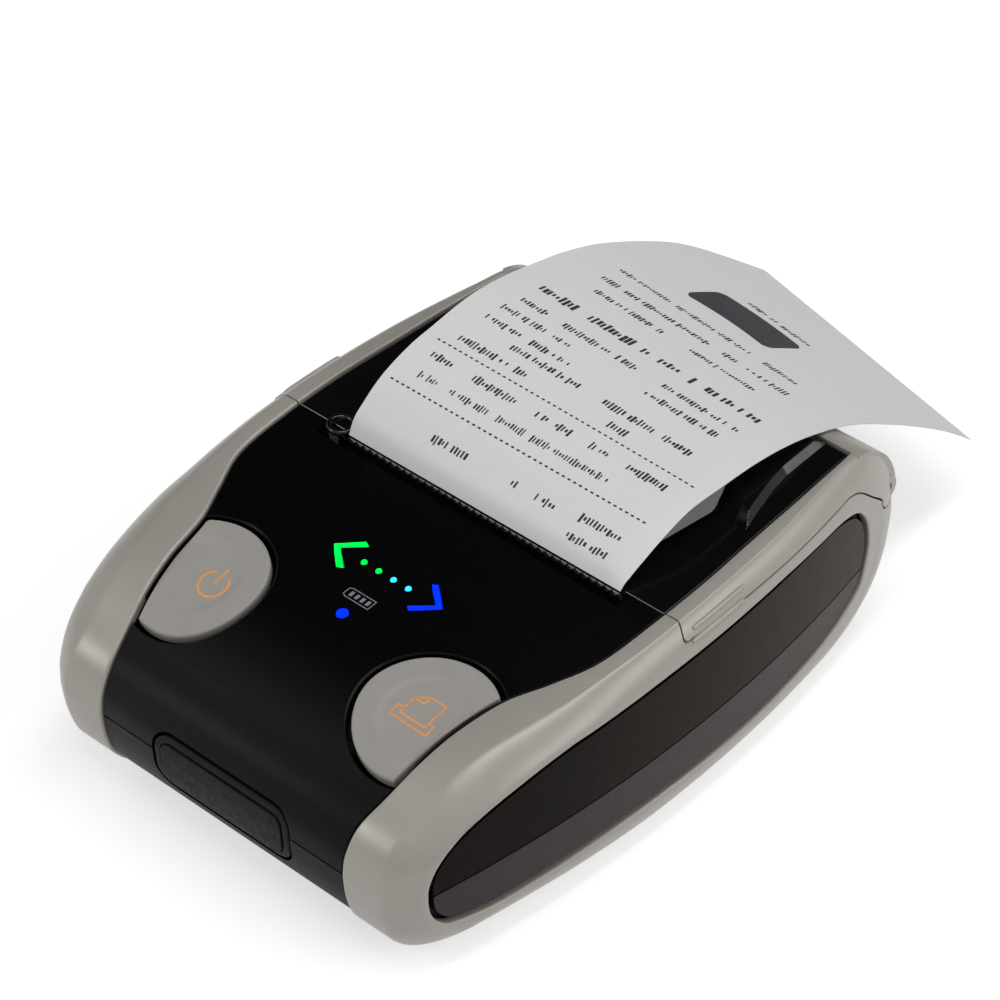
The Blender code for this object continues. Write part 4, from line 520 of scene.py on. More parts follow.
def flat_ring(x, y, radius, angle, z):
    """Circle of points that lies flat at a height."""
    flat = np.column_stack([x + radius * np.cos(angle), y + radius * np.sin(angle)])
    return np.insert(flat, Z, z, axis=1)


def circle(first, second, radius, sides, start=0.0, end=None):
    """Points round a circle, or along an arc with both its ends where an end is given."""
    if end is None:
        angle = start + full_circle(sides)
    else:
        angle = np.linspace(start, end, sides + 1)
    return np.column_stack([first + radius * np.cos(angle), second + radius * np.sin(angle)])


def turned_x(name, y, z, profile, sides=96):
    """Closed profile of (x, radius) pairs turned about the line y, z along X."""
    profile = np.asarray(profile, float)
    angle = full_circle(sides)[:, None]
    x = np.broadcast_to(profile[:, 0], (sides, len(profile)))
    points = np.stack(
        [x, y + profile[:, 1] * np.cos(angle), z + profile[:, 1] * np.sin(angle)], axis=-1
    )
    return tube_solid(name, points)


def nose(low, radius, bevel, steps=4):
    """(x, radius) points of the quarter circle that rounds the first end of a turned piece."""
    turn = quarter(steps + 1)[::-1]
    return np.column_stack([low + bevel * (1 - np.sin(turn)), radius - bevel * (1 - np.cos(turn))])


def turned_back(profile, low, high):
    """The profile of the first end as it runs at the second."""
    return np.column_stack([low + high - profile[::-1, 0], profile[::-1, 1]])


def rounded_ends(low, high, radius, bore, bevel):
    """(x, radius) profile of a tube whose outer edges are rounded by the bevel."""
    left = nose(low, radius, bevel)
    return np.vstack([left, turned_back(left, low, high), [(high, bore), (low, bore)]])


# Boolean operations
CUT, JOIN, KEEP = "DIFFERENCE", "UNION", "INTERSECT"


def carve(obj, *steps):
    """Applies Booleans in order: each step is an operation and the solid that it uses up."""
    for number, (operation, other) in enumerate(steps):
        boolean = obj.modifiers.new(f"step_{number}", "BOOLEAN")
        boolean.operation = operation
        boolean.solver = "MANIFOLD"
        boolean.object = other
        other.hide_render = True
    bpy.context.view_layer.update()
    graph = bpy.context.evaluated_depsgraph_get()
    mesh = bpy.data.meshes.new_from_object(obj.evaluated_get(graph))
    obj.modifiers.clear()
    obj.data = mesh
    for _, other in steps:
        bpy.data.objects.remove(other, do_unlink=True)
    build = bmesh.new()
    build.from_mesh(mesh)
    bmesh.ops.remove_doubles(build, verts=build.verts, dist=1e-7)
    bmesh.ops.dissolve_degenerate(build, edges=build.edges, dist=1e-7)
    flaps = [face for face in build.faces if all(len(edge.link_faces) == 1 for edge in face.edges)]
    bmesh.ops.delete(build, geom=flaps, context="FACES")
    loose = [edge for edge in build.edges if not edge.link_faces]
    bmesh.ops.delete(build, geom=loose, context="EDGES")
    open_edges = sum(len(edge.link_faces) != 2 for edge in build.edges)
    build.to_mesh(mesh)
    build.free()
    if not mesh.polygons:
        raise RuntimeError(f"nothing is left of {obj.name}")
    if open_edges:
        print(f"{obj.name}: {open_edges} edges don't join two faces")
    mesh.name = obj.name
    return obj


def settle(obj, body, nodes, finishes, angle=30):
    """Gives a finished piece its finishes and shading, and says what it rides on and stands for."""
    obj.data.materials.clear()
    for name in finishes:
        obj.data.materials.append(finish(name))
    obj.data.shade_smooth()
    obj.data.set_sharp_from_angle(angle=math.radians(angle))
    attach(obj, body)
    if nodes:
        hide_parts(*nodes)
    return obj


# Materials


def chosen(value):
    """The value itself, or what a setting holds that a text such as group.field names."""
    if not isinstance(value, str):
        return value
    group, field = value.split(".")
    found = getattr(getattr(bpy.context.scene, group), field)
    return found if isinstance(found, float) else tuple(found)


class Recipe:
    """Node tree of one material, with its shader and its object coordinates at hand."""

    def __init__(self, name, color, roughness, specular=0.5, metallic=0.0):
        self.mat = bpy.data.materials.new(name)
        self.mat.use_nodes = True
        self.tree = self.mat.node_tree
        self.shader = self.tree.nodes["Principled BSDF"]
        self.shader.inputs["Base Color"].default_value = (*color, 1.0)
        self.shader.inputs["Roughness"].default_value = roughness
        self.shader.inputs["Specular IOR Level"].default_value = specular
        self.shader.inputs["Metallic"].default_value = metallic
        self.coords = self.tree.nodes.new("ShaderNodeTexCoord").outputs["Object"]

    def node(self, kind, values=None, links=None, **settings):
        made = self.tree.nodes.new(kind)
        for key, value in settings.items():
            setattr(made, key, value)
        for key, value in (values or {}).items():
            made.inputs[key].default_value = value
        for key, source in (links or {}).items():
            self.tree.links.new(source, made.inputs[key])
        return made

    def link(self, source, socket):
        self.tree.links.new(source, self.shader.inputs[socket])

    def stretched(self, scale):
        made = self.node("ShaderNodeMapping", {"Scale": scale}, {"Vector": self.coords})
        return made.outputs["Vector"]

    def noise(self, size, detail=2.0, vector=None):
        """Value of a noise whose spots are about the size given, in metres."""
        values = {"Scale": 1.0 / size, "Detail": detail, "Roughness": 0.5}
        made = self.node("ShaderNodeTexNoise", values, {"Vector": vector or self.coords})
        return made.outputs["Fac"]

    def remap(self, source, low, high, to_low, to_high):
        values = {"From Min": low, "From Max": high, "To Min": to_low, "To Max": to_high}
        return self.node("ShaderNodeMapRange", values, {"Value": source}).outputs["Result"]

    def math(self, operation, first, second=0.0):
        node = self.node("ShaderNodeMath", operation=operation)
        for socket, source in zip(node.inputs, (first, second)):
            if isinstance(source, (int, float)):
                socket.default_value = source
            else:
                self.tree.links.new(source, socket)
        return node.outputs["Value"]

    def blend(self, factor, first, second):
        """Colour between two, where the factor says."""
        node = self.node("ShaderNodeMix", data_type="RGBA")
        self.tree.links.new(factor, node.inputs["Factor"])
        for socket, color in ((node.inputs[6], first), (node.inputs[7], second)):
            if isinstance(color, tuple):
                socket.default_value = (*color, 1.0)
            else:
                self.tree.links.new(color, socket)
        return node.outputs[2]

    def axis(self, name):
        return self.node("ShaderNodeSeparateXYZ", links={"Vector": self.coords}).outputs[name]

    def mottle(self, color, spread, size, detail=3.0):
        """Colour that wanders a little either side of the given one."""
        darker = tuple(c * (1 - spread) for c in color)
        lighter = tuple(min(1.0, c * (1 + spread)) for c in color)
        factor = self.remap(self.noise(size, detail), 0.3, 0.7, 0.0, 1.0)
        return self.blend(factor, darker, lighter)

    def rough(self, low, high, size):
        """Roughness that wanders between two values."""
        self.link(self.remap(self.noise(size, 4.0), 0.3, 0.7, low, high), "Roughness")

    def bump(self, height, distance, strength=1.0):
        values = {"Strength": strength, "Distance": distance}
        made = self.node("ShaderNodeBump", values, {"Height": height})
        self.link(made.outputs["Normal"], "Normal")

    def finish(self, base, rough, grain, vector=None):
        """Links the colour, the roughness (low, high, size) and the grain, which is fine bumps of
        the height, the size and the detail given, in metres. Returns the material."""
        self.link(base, "Base Color")
        if rough:
            self.rough(*rough)
        self.bump(self.noise(*grain[1:], vector=vector), grain[0])
        return self.mat


# Plain finishes: colour, or the setting that holds it, roughness, specular level, mottle (spread
# and size), roughness range and its size, grain (height, size and, where it isn't 2, detail).
PLAIN_FINISHES = {
    # Soft-touch grey of the two keys, smoother than the bumpers
    "key_grey": ("printer_case.key_grey", 0.5, 0.35, (0.03, 0.004), (0.45, 0.55, 0.0008),
                 (0.000008, 0.00025)),
    # Polished black of the lid's cover, with faint handling haze
    "lid_gloss": ("printer_case.lid_black", 0.14, 0.5, (0.15, 0.004), (0.10, 0.20, 0.003),
                  (0.0000015, 0.0012)),
    # Plain moulded black of the inside parts, with flow marks
    "inner_black": (
        (0.02, 0.02, 0.022), 0.5, 0.5, (0.2, 0.004), (0.4, 0.6, 0.0012), (0.00001, 0.0003),
    ),
    "soft_rubber": ((0.009, 0.008, 0.008), 0.6, 0.13, (0.1, 0.002), (0.5, 0.68, 0.0009),
                    (0.00001, 0.00022)),
    "gear_white": (
        (0.68, 0.67, 0.62), 0.4, 0.5, (0.05, 0.002), (0.33, 0.48, 0.0008), (0.000006, 0.0003),
    ),
    # Shrink wrap of the battery pack, with soft wrinkles
    "battery_wrap": ((0.03, 0.075, 0.24), 0.3, 0.5, (0.1, 0.004), (0.22, 0.4, 0.002),
                     (0.00004, 0.004, 3.0)),
    # Receipt paper: cool white, with faint fibres
    "thermal_paper": ("printer_receipt.paper", 0.65, 0.25, (0.012, 0.0015), (0.58, 0.72, 0.0006),
                      (0.000006, 0.0002, 3.0)),
    "roll_card": ((0.40, 0.31, 0.21), 0.85, 0.5, (0.15, 0.0012), (0.75, 0.92, 0.0006),
                  (0.00002, 0.0004, 4.0)),
    # Thin print, a little uneven in its cover
    "key_ink": ("printer_lights.sign_ink", 0.5, 0.2, (0.1, 0.0004), (0.45, 0.6, 0.0006),
                (0.000003, 0.0002)),
    "pale_ink": (
        linear(120, 124, 132), 0.5, 0.2, (0.1, 0.0004), (0.45, 0.6, 0.0006), (0.000003, 0.0002),
    ),
    "receipt_ink": ("printer_receipt.ink", 0.6, 0.2, (0.1, 0.0004), (0.55, 0.7, 0.0006),
                    (0.000003, 0.0002)),
}

# Metals: colour, roughness, and how far the brushing is stretched along X, Y and Z.
METALS = {
    "bright_steel": ((0.56, 0.56, 0.57), 0.28, (6.0, 0.4, 0.4)),
    "plate_steel": ((0.50, 0.50, 0.50), 0.38, (0.4, 6.0, 0.4)),
    "black_steel": ((0.005, 0.005, 0.006), 0.42, (0.4, 3.0, 3.0)),
    "brushed_aluminium": ((0.72, 0.73, 0.74), 0.32, (0.3, 4.0, 4.0)),
}
BRUSHING_SIZE = 0.0006

# Side inlays: colours at the front and the rear, roughness, specular level, place where the front
# colour ends, specks (size and spread), roughness range and its size, grain.
INLAYS = {
    # Smoky brown gloss of the upper inlay, paler towards the rear: the paler rear is a painted
    # reflection
    "inlay_brown": (linear(15, 8, 5), linear(50, 38, 32), 0.22, 0.03, -0.03, (0.002, 0.08),
                    (0.18, 0.27, 0.0015), (0.000002, 0.0004)),
    # Dark grey of the lower inlay, with a matt moulded skin
    "inlay_grey": (linear(62, 56, 57), linear(88, 82, 80), 0.45, 0.05, -0.05, (0.0015, 0.1),
                   (0.4, 0.5, 0.0008), (0.000006, 0.00025)),
}


def plain_finish(name, color, roughness, specular, mottle, rough, grain):
    recipe = Recipe(name, chosen(color), roughness, specular)
    return recipe.finish(recipe.mottle(chosen(color), *mottle), rough, grain)


def metal(name, color, roughness, stretch):
    """Metal with brushing that runs across the direction it is stretched in."""
    recipe = Recipe(name, color, roughness, metallic=1.0)
    brushed = recipe.noise(BRUSHING_SIZE, 4.0, recipe.stretched(stretch))
    recipe.link(recipe.remap(brushed, 0.2, 0.8, roughness - 0.08, roughness + 0.1), "Roughness")
    base = recipe.mottle(color, 0.08, 0.003)
    return recipe.finish(base, None, (0.000003, BRUSHING_SIZE), recipe.stretched(stretch))


def inlay_finish(name, front, rear, roughness, specular, start, specks, rough, grain):
    recipe = Recipe(name, front, roughness, specular)
    # Along Y the front colour pales into the rear colour; on the upper brown inlay this paling is a
    # painted reflection
    along = recipe.remap(recipe.axis("Y"), start, 0.05, 0.0, 1.0)
    size, spread = specks
    speck = recipe.remap(recipe.noise(size, 4.0), 0.3, 0.7, -spread, spread)
    return recipe.finish(recipe.blend(recipe.math("ADD", along, speck), front, rear), rough, grain)


def bumper_grey():
    """Satin paint in warm silver grey, with a very fine grain."""
    color = chosen("printer_case.grey")
    recipe = Recipe("bumper_grey", color, 0.34, metallic=0.18)
    grain = (chosen("printer_case.grain_height"), 0.0009)
    return recipe.finish(recipe.mottle(color, 0.02, 0.012), (0.32, 0.37, 0.004), grain)


def case_black():
    """Black band: nearly smooth on the top, with a stippled grain and fine ribs down the front."""
    color = chosen("printer_case.black")
    recipe = Recipe("case_black", color, 0.3, 0.13)
    recipe.link(recipe.mottle(color, 0.12, 0.003), "Base Color")
    front = recipe.remap(recipe.axis("Z"), 0.020, 0.035, 1.0, 0.0)
    wander = recipe.noise(0.0007, 3.0)
    rough = recipe.math("ADD", recipe.math("MULTIPLY", front, 0.22), 0.24)
    recipe.link(recipe.math("ADD", rough, recipe.math("MULTIPLY", wander, 0.08)), "Roughness")
    ribs = recipe.noise(0.0003, 2.0, recipe.stretched((0.25, 1.6, 1.6)))
    stipple = recipe.noise(0.00018, 1.0)
    recipe.bump(recipe.math("MULTIPLY", recipe.math("ADD", ribs, stipple), front), 0.00002, 0.8)
    return recipe.mat


def platen_rubber():
    """Ground rubber of the platen: fine grinding rings round the roller."""
    color = (0.035, 0.033, 0.035)
    recipe = Recipe("platen_rubber", color, 0.55)
    base = recipe.mottle(color, 0.15, 0.002)
    rings = recipe.stretched((6.0, 0.3, 0.3))
    return recipe.finish(base, (0.48, 0.62, 0.001), (0.000008, 0.0004), rings)


def head_ceramic():
    """Print head: pale ceramic with a dark row of heating dots along its face."""
    color = (0.62, 0.60, 0.55)
    recipe = Recipe("head_ceramic", color, 0.3)
    row = recipe.math("ABSOLUTE", recipe.math("SUBTRACT", recipe.axis("Z"), PLATEN_Z))
    near = recipe.remap(row, 0.0003, 0.0005, 1.0, 0.0)
    base = recipe.blend(near, recipe.mottle(color, 0.05, 0.002), (0.05, 0.035, 0.02))
    return recipe.finish(base, (0.2, 0.35, 0.0008), (0.000003, 0.0003))


def board_green():
    """Circuit board: dark green lacquer over copper lanes, with small tinned spots."""
    lacquer = (0.003, 0.016, 0.009)
    recipe = Recipe("board_green", lacquer, 0.35)
    here = {"Vector": recipe.coords}
    bricks = {"Scale": 1.0, "Mortar Size": 0.0003, "Brick Width": 0.009, "Row Height": 0.0012}
    lanes = recipe.node("ShaderNodeTexBrick", bricks, here).outputs["Fac"]
    cells = {"Scale": 1 / 0.0026, "Randomness": 0.6}
    spots = recipe.node("ShaderNodeTexVoronoi", cells, here).outputs["Distance"]
    tinned = recipe.remap(spots, 0.16, 0.2, 1.0, 0.0)
    board = recipe.blend(lanes, lacquer, (0.006, 0.035, 0.018))
    base = recipe.blend(tinned, board, (0.12, 0.12, 0.10))
    return recipe.finish(base, (0.28, 0.42, 0.002), (0.00001, 0.0006))


def rolled_paper():
    """Roll of paper: fine rings on its ends, where the turns of paper lie on each other."""
    color = (0.74, 0.745, 0.74)
    recipe = Recipe("rolled_paper", color, 0.75)
    x, y, z = (
        recipe.math("SUBTRACT", recipe.axis(name), middle)
        for name, middle in (("X", PAPER_LOW + PAPER_WIDTH / 2), ("Y", ROLL_Y), ("Z", ROLL_Z))
    )
    square = recipe.math("ADD", recipe.math("MULTIPLY", y, y), recipe.math("MULTIPLY", z, z))
    turns = recipe.math("MULTIPLY", recipe.math("SQRT", square), 2 * math.pi / 0.00035)
    wave = recipe.math("SINE", turns)
    edge = PAPER_WIDTH / 2
    ends = recipe.remap(recipe.math("ABSOLUTE", x), edge - 0.0004, edge - 0.0002, 0.0, 1.0)
    rings = recipe.math("MULTIPLY", recipe.remap(wave, -1.0, 1.0, 0.0, 0.5), ends)
    base = recipe.blend(rings, color, (0.5, 0.5, 0.49))
    return recipe.finish(base, (0.65, 0.8, 0.001), (0.00001, 0.0003))


def flat_cable():
    """Amber film with its conductors showing as darker lines."""
    color = (0.42, 0.20, 0.04)
    recipe = Recipe("flat_cable", color, 0.3)
    lines = recipe.math("SINE", recipe.math("MULTIPLY", recipe.axis("X"), 2 * math.pi / 0.001))
    base = recipe.blend(recipe.remap(lines, 0.1, 0.4, 0.0, 1.0), color, (0.22, 0.10, 0.02))
    return recipe.finish(base, (0.22, 0.38, 0.001), (0.000006, 0.0008))


def glowing(name, color, strength):
    """Light guide: a clear cap over a lit core, whose glow wanders a little in strength."""
    recipe = Recipe(name, tuple(c * 0.4 for c in color), 0.25)
    flow = recipe.remap(recipe.noise(0.0012, 1.0), 0.3, 0.7, 0.92, 1.08)
    recipe.link(recipe.blend(flow, tuple(c * 0.9 for c in color), color), "Emission Color")
    recipe.shader.inputs["Emission Strength"].default_value = strength
    recipe.rough(0.2, 0.3, 0.0005)
    recipe.bump(recipe.noise(0.0003), 0.000002)
    return recipe.mat


OWN_FINISHES = (
    bumper_grey, case_black, platen_rubber, head_ceramic, board_green, rolled_paper, flat_cable,
)
MADE_MATERIALS = {}


def finish(name):
    """The finish of a name, made once, however many pieces take it."""
    if name not in MADE_MATERIALS:
        for table, maker in (
            (PLAIN_FINISHES, plain_finish), (METALS, metal), (INLAYS, inlay_finish),
        ):
            if name in table:
                MADE_MATERIALS[name] = maker(name, *table[name])
        for maker in OWN_FINISHES:
            if maker.__name__ == name:
                MADE_MATERIALS[name] = maker()
    return MADE_MATERIALS[name]


# Solids shared by several pieces


def band_edge(band, drop):
    """Columns round the black band's edge: from its top at the radius inside the edge, a quarter
    circle down to the edge itself."""
    for angle in quarter(5):
        x = band - BAND_EDGE_RADIUS * (1 - math.sin(angle))
        yield VIEW.ring(x, drop + BAND_EDGE_RADIUS * (1 - math.cos(angle)))


def side_cap(ring, inlay, steps):
    """Grid from the upper to the lower half of a ring of stations; an inlay's cap keeps to the
    bowed side surface, less the inlay's depth."""
    half = VIEW.half_count
    upper = ring[: half + 1]
    lower = ring[-np.arange(half + 1) % VIEW.count]
    share = np.linspace(0, 1, steps + 1)[None, :, None]
    grid = upper[:, None] * (1 - share) + lower[:, None] * share
    if inlay:
        grid[..., 0] = side_x(grid[..., 1:]) - INLAY_DEPTH
    return grid


def ringed_solid(name, rings, inlay, steps):
    """Solid through rings of stations on the right side and their mirror images on the left, with
    a cap on each side."""
    loops = np.array([ring * MIRROR for ring in reversed(rings)] + rings)
    points = [loops.reshape(-1, 3)]
    faces = [grid_faces(len(loops), VIEW.count, False, True)]
    start = len(points[0])
    for side in (-1.0, 1.0):
        cap = side_cap(rings[-1], inlay, steps) * (side, 1.0, 1.0)
        points.append(cap.reshape(-1, 3))
        faces.append(grid_faces(*cap.shape[:2], start=start))
        start += len(points[-1])
    return closed_solid(name, np.vstack(points), np.vstack(faces))


def body_solid(name, wall, inlay):
    """Black body under the bumpers, or its cavity where the wall is above zero: rings of stations,
    each at its own half-width and depth."""
    step = BUMPER_WALL + FIT + wall
    drop = np.where(VIEW.outer[:, 1] <= 0, 0.0, BAND_DROP) if wall == 0 else BAND_DROP + wall
    band = VIEW.band - FIT / 2 - wall
    under = side_x(VIEW.at(VIEW.corner_depth)) - step
    shoulder = np.maximum(under - (VIEW.corner_width - BUMPER_WALL), band + FIT)
    rings = list(band_edge(band, drop)) if wall == 0 else [VIEW.ring(band, drop)]
    rings += [VIEW.ring(band, step), VIEW.ring(shoulder, step)]
    rings.append(VIEW.ring(under, np.maximum(VIEW.corner_depth, step + FIT)))
    if inlay:
        place = VIEW.opening_at(INLAY_GAP)
        rings += [np.column_stack([side_x(place) - depth, place]) for depth in (step, INLAY_DEPTH)]
    return ringed_solid(name, rings, inlay, 14)


def band_solid(name, depth, inset):
    """The whole black band out to a depth, narrowed by the inset on each side."""
    return ringed_solid(name, [VIEW.ring(VIEW.band - inset, depth)], False, 1)


def rind_solid(name, outer_depth, inner_depth):
    """Tube of the outline between two depths, wider than the whole printer."""
    reach = HALF_WIDTH + OVERRUN
    corners = (
        (-reach, outer_depth), (reach, outer_depth), (reach, inner_depth), (-reach, inner_depth),
    )
    columns = [np.insert(VIEW.at(depth), X, x, axis=1) for x, depth in corners]
    return tube_solid(name, np.stack(columns, axis=1))


def lid_outline(margin, lip_angle):
    """(y, z) outline of the lid's side of its seam, grown by the margin."""
    top = BODY_HEIGHT + LID_TOP_CLEAR
    edge = LID_EDGE_HEIGHT - margin
    start_y = HINGE_Y - BARREL_RADIUS - WING_EDGE_RUN
    drop = LID_EDGE_HEIGHT - HINGE_Z
    shares = smooth_rows(((0.0, 0.0), *WING_EDGE_SHARES), 24)[6:]
    rows = [
        (start_y + WING_EDGE_RUN * run - margin * fall, edge - drop * fall) for run, fall in shares
    ]
    barrel = BARREL_RADIUS + FIT / 2 + margin
    arc = circle(HINGE_Y, HINGE_Z, barrel, 28, math.pi, 2 * math.pi + lip_angle)
    far = BODY_LENGTH / 2 + OVERRUN - HINGE_Y
    front = LID_FRONT - margin
    corner = circle(front + 0.001, edge + 0.001, 0.001, 6, math.pi, 1.5 * math.pi)
    ends = [(HINGE_Y + far, HINGE_Z + far * math.tan(lip_angle)), (HINGE_Y + far, top)]
    return np.vstack([[(front, top)], corner, rows, arc, ends])


def lid_space(name, margin, lip_angle):
    reach = HALF_WIDTH + OVERRUN
    return prism(name, lid_outline(margin, lip_angle), -reach, reach, X)


def wing_tab(name, side, margin):
    """Tab that carries a wing's front edge forward as the edge runs down the side: in plan the
    reach rises in a smooth step from the inner to the outer half-width, and at the foot it falls
    back in a quarter circle."""
    x = np.linspace(TAB_INNER - 0.001, HALF_WIDTH + OVERRUN, 30)
    s = np.clip((x - TAB_INNER) / (TAB_OUTER - TAB_INNER), 0, 1)
    edge = LID_FRONT - margin - TAB_REACH * s * s * (3 - 2 * s)
    turn = quarter(7)
    low = LID_EDGE_HEIGHT - margin
    heights = np.concatenate([low + TAB_CORNER * (1 - np.cos(turn)), [BODY_HEIGHT + LID_TOP_CLEAR]])
    backs = np.concatenate([TAB_CORNER * (1 - np.sin(turn)), [0.0]])
    rear = LID_FRONT + 2 * TAB_CORNER + FIT
    loops = [
        np.vstack([
            np.column_stack([side * x, edge + back, np.full(len(x), z)]),
            [(side * x[-1], rear, z), (side * x[0], rear, z)],
        ])
        for z, back in zip(heights, backs)
    ]
    return loft_solid(name, np.array(loops))


def bumper_points(edge_radius, lip_radius):
    """Right bumper: at each station a closed section, which rounds its inner edge, runs flat, turns
    the corner into the side, rounds the lip of the opening and comes back inside."""
    half = VIEW.band + FIT / 2
    deep, wide, side = VIEW.corner_depth, VIEW.corner_width, VIEW.side
    edge_radius = np.broadcast_to(edge_radius, VIEW.count)
    columns = [VIEW.ring(half, BUMPER_WALL)]
    for angle in quarter(7):
        x = half + edge_radius * (1 - math.cos(angle))
        columns.append(VIEW.ring(x, edge_radius * (1 - math.sin(angle))))
    columns += [VIEW.corner(angle) for angle in quarter(25)]
    start, lip = VIEW.at(deep), VIEW.opening_at(0.0)
    run = lip - start
    ahead = run / np.linalg.norm(run, axis=1)[:, None]
    end = lip - ahead * lip_radius
    for share in (0.25, 0.5, 0.75):
        place = start + (end - start) * share
        columns.append(np.column_stack([side_x(place), place]))
    for angle in quarter(7):
        place = lip - ahead * lip_radius * (1 - math.sin(angle))
        x = side_x(place) - lip_radius * (1 - math.cos(angle))
        columns.append(np.column_stack([x, place]))
    columns.append(np.column_stack([side_x(lip) - BUMPER_WALL, lip]))
    columns.append(np.column_stack([side - CORNER_FOOT, start]))
    columns.append(VIEW.ring(side - wide, BUMPER_WALL))
    return np.stack(columns, axis=1)


def port_outline(margin):
    """(x, z) of the flap's outline, a rectangle with rounded corners grown by the margin."""
    half, low, high = PORT_HALF + margin, PORT_BOTTOM - margin, PORT_TOP + margin
    radius = min(max(PORT_CORNER + margin, 0.0004), (high - low) / 2)
    corners = (
        (half - radius, high - radius), (radius - half, high - radius),
        (radius - half, low + radius), (half - radius, low + radius),
    )
    turn = 0.5 * math.pi
    arcs = [circle(x, z, radius, 10, k * turn, (k + 1) * turn) for k, (x, z) in enumerate(corners)]
    return np.vstack(arcs)


def port_space(name):
    """Space of the flap and of the sockets behind it."""
    return prism(name, port_outline(FIT), -BODY_LENGTH, SOCKET_FACE_Y, Y)


def key_axes():
    """Rotation of a key's own axes, in which +Z points out of the top."""
    return np.array(Matrix.Rotation(KEY_SLOPE, 3, "X"))


def key_place(centre_x, across, along, lift):
    """Places on the band round a key. The point across and along in the key's plane moves along
    the key's axis until it meets the band, found by repeated correction, and then by the lift."""
    turn = key_axes()
    flat = np.stack([across, along, np.zeros_like(across)], axis=-1) @ turn.T
    base = flat + np.array([centre_x, KEY_Y, KEY_TOP_Z])
    out = turn[:, 2]
    rise = np.zeros_like(across)
    for _ in range(8):
        y = base[..., 1] + out[1] * rise
        rise = (VIEW.height(y) - BAND_DROP / out[2] - base[..., 2]) / out[2]
    return base + (rise + lift)[..., None] * out


def key_reach(centre_x, angle, inset):
    """Distance from a key's centre to its edge: the key's radius, or less where the bumper cuts it
    off, found by repeated correction because the bumper's edge bends."""
    side = math.copysign(1.0, centre_x)
    cosine, sine = np.cos(angle) * side, np.sin(angle)
    reach = np.full(len(angle), KEY_RADIUS)
    for _ in range(20):
        y = KEY_Y + reach * sine * math.cos(KEY_SLOPE)
        room = VIEW.band_half(y) - inset - abs(centre_x)
        limit = np.where(cosine > 0.05, room / np.maximum(cosine, 0.05), KEY_RADIUS)
        reach = 0.5 * reach + 0.5 * np.minimum(KEY_RADIUS, limit)
    return reach


def key_hole(name, centre_x, radius, rim):
    """Round hole along a key's axis whose mouth widens by the rim at the band's surface."""
    angle = full_circle(160)
    steps = ((0.0, -radius / 2), (0.0, -rim), (rim, 0.0), (rim, radius / 2))
    loops = [
        key_place(centre_x, (radius + more) * np.cos(angle), (radius + more) * np.sin(angle), lift)
        for more, lift in steps
    ]
    return loft_solid(name, np.array(loops))


def light_outlines():
    """(x, y) outline of each light's hole in the top."""
    stroke, rise = LIGHT_STROKE + 2 * LIGHT_GAP, CHEVRON_RISE + LIGHT_GAP
    for side in (-1, 1):
        tip = side * (CHEVRON_POINT_X + LIGHT_GAP * 1.5)
        inner = side * (CHEVRON_POINT_X - LIGHT_STROKE * 1.3 - LIGHT_GAP * 1.5)
        end = side * (CHEVRON_POINT_X - CHEVRON_RUN)
        yield np.array([
            (tip, CHEVRON_Y),
            (end, CHEVRON_Y + rise),
            (end - side * stroke, CHEVRON_Y + rise - stroke / 2),
            (inner, CHEVRON_Y),
            (end - side * stroke, CHEVRON_Y - rise + stroke / 2),
            (end, CHEVRON_Y - rise),
        ])
    for k in range(4):
        yield circle(DOT_FIRST_X + DOT_STEP * k, CHEVRON_Y, DOT_RADIUS + LIGHT_GAP, 24)
    yield circle(0.0, LAMP_Y, LAMP_RADIUS + LIGHT_GAP, 32)


def both_sides(spots):
    """Each spot on the left side and on the right."""
    for x, *rest in spots:
        yield -x, *rest
        yield x, *rest


def ear_outline(radius, foot):
    """(y, z) outline of a hinge ear: a half circle round the pin on a straight foot."""
    arc = circle(HINGE_Y, HINGE_Z, radius, 24, 0.0, math.pi)
    return np.vstack([arc, [(HINGE_Y - radius, foot), (HINGE_Y + radius, foot)]])


def pin_bore(name, reach):
    return prism(name, circle(HINGE_Y, HINGE_Z, PIN_HOLE_RADIUS, 32), -reach, reach, X)


def mark_inlay(obj):
    """Gives the second material to the faces that lie on the side inlay."""
    mesh = obj.data
    centre = np.empty(len(mesh.polygons) * 3)
    mesh.polygons.foreach_get("center", centre)
    centre = centre.reshape(-1, 3)
    inlay = np.abs(centre[:, 0]) > side_x(centre[:, 1:]) - INLAY_DEPTH - 0.0003
    mesh.polygons.foreach_set("material_index", inlay.astype(np.int32))
    mesh.update()


# Sizes and colours that a user would change



def color_setting(name, description, default):
    return FloatVectorProperty(
        name=name, description=description, default=default, subtype="COLOR", size=3, min=0, max=1,
    )


def length_setting(name, description, default, low=0.0001):
    return FloatProperty(
        name=name, description=description, default=default, subtype="DISTANCE", unit="LENGTH",
        min=low, max=0.001,
    )


def power_setting(name, description, default):
    return FloatProperty(
        name=name, description=description, default=default, subtype="POWER", unit="POWER",
        min=0, max=100,
    )


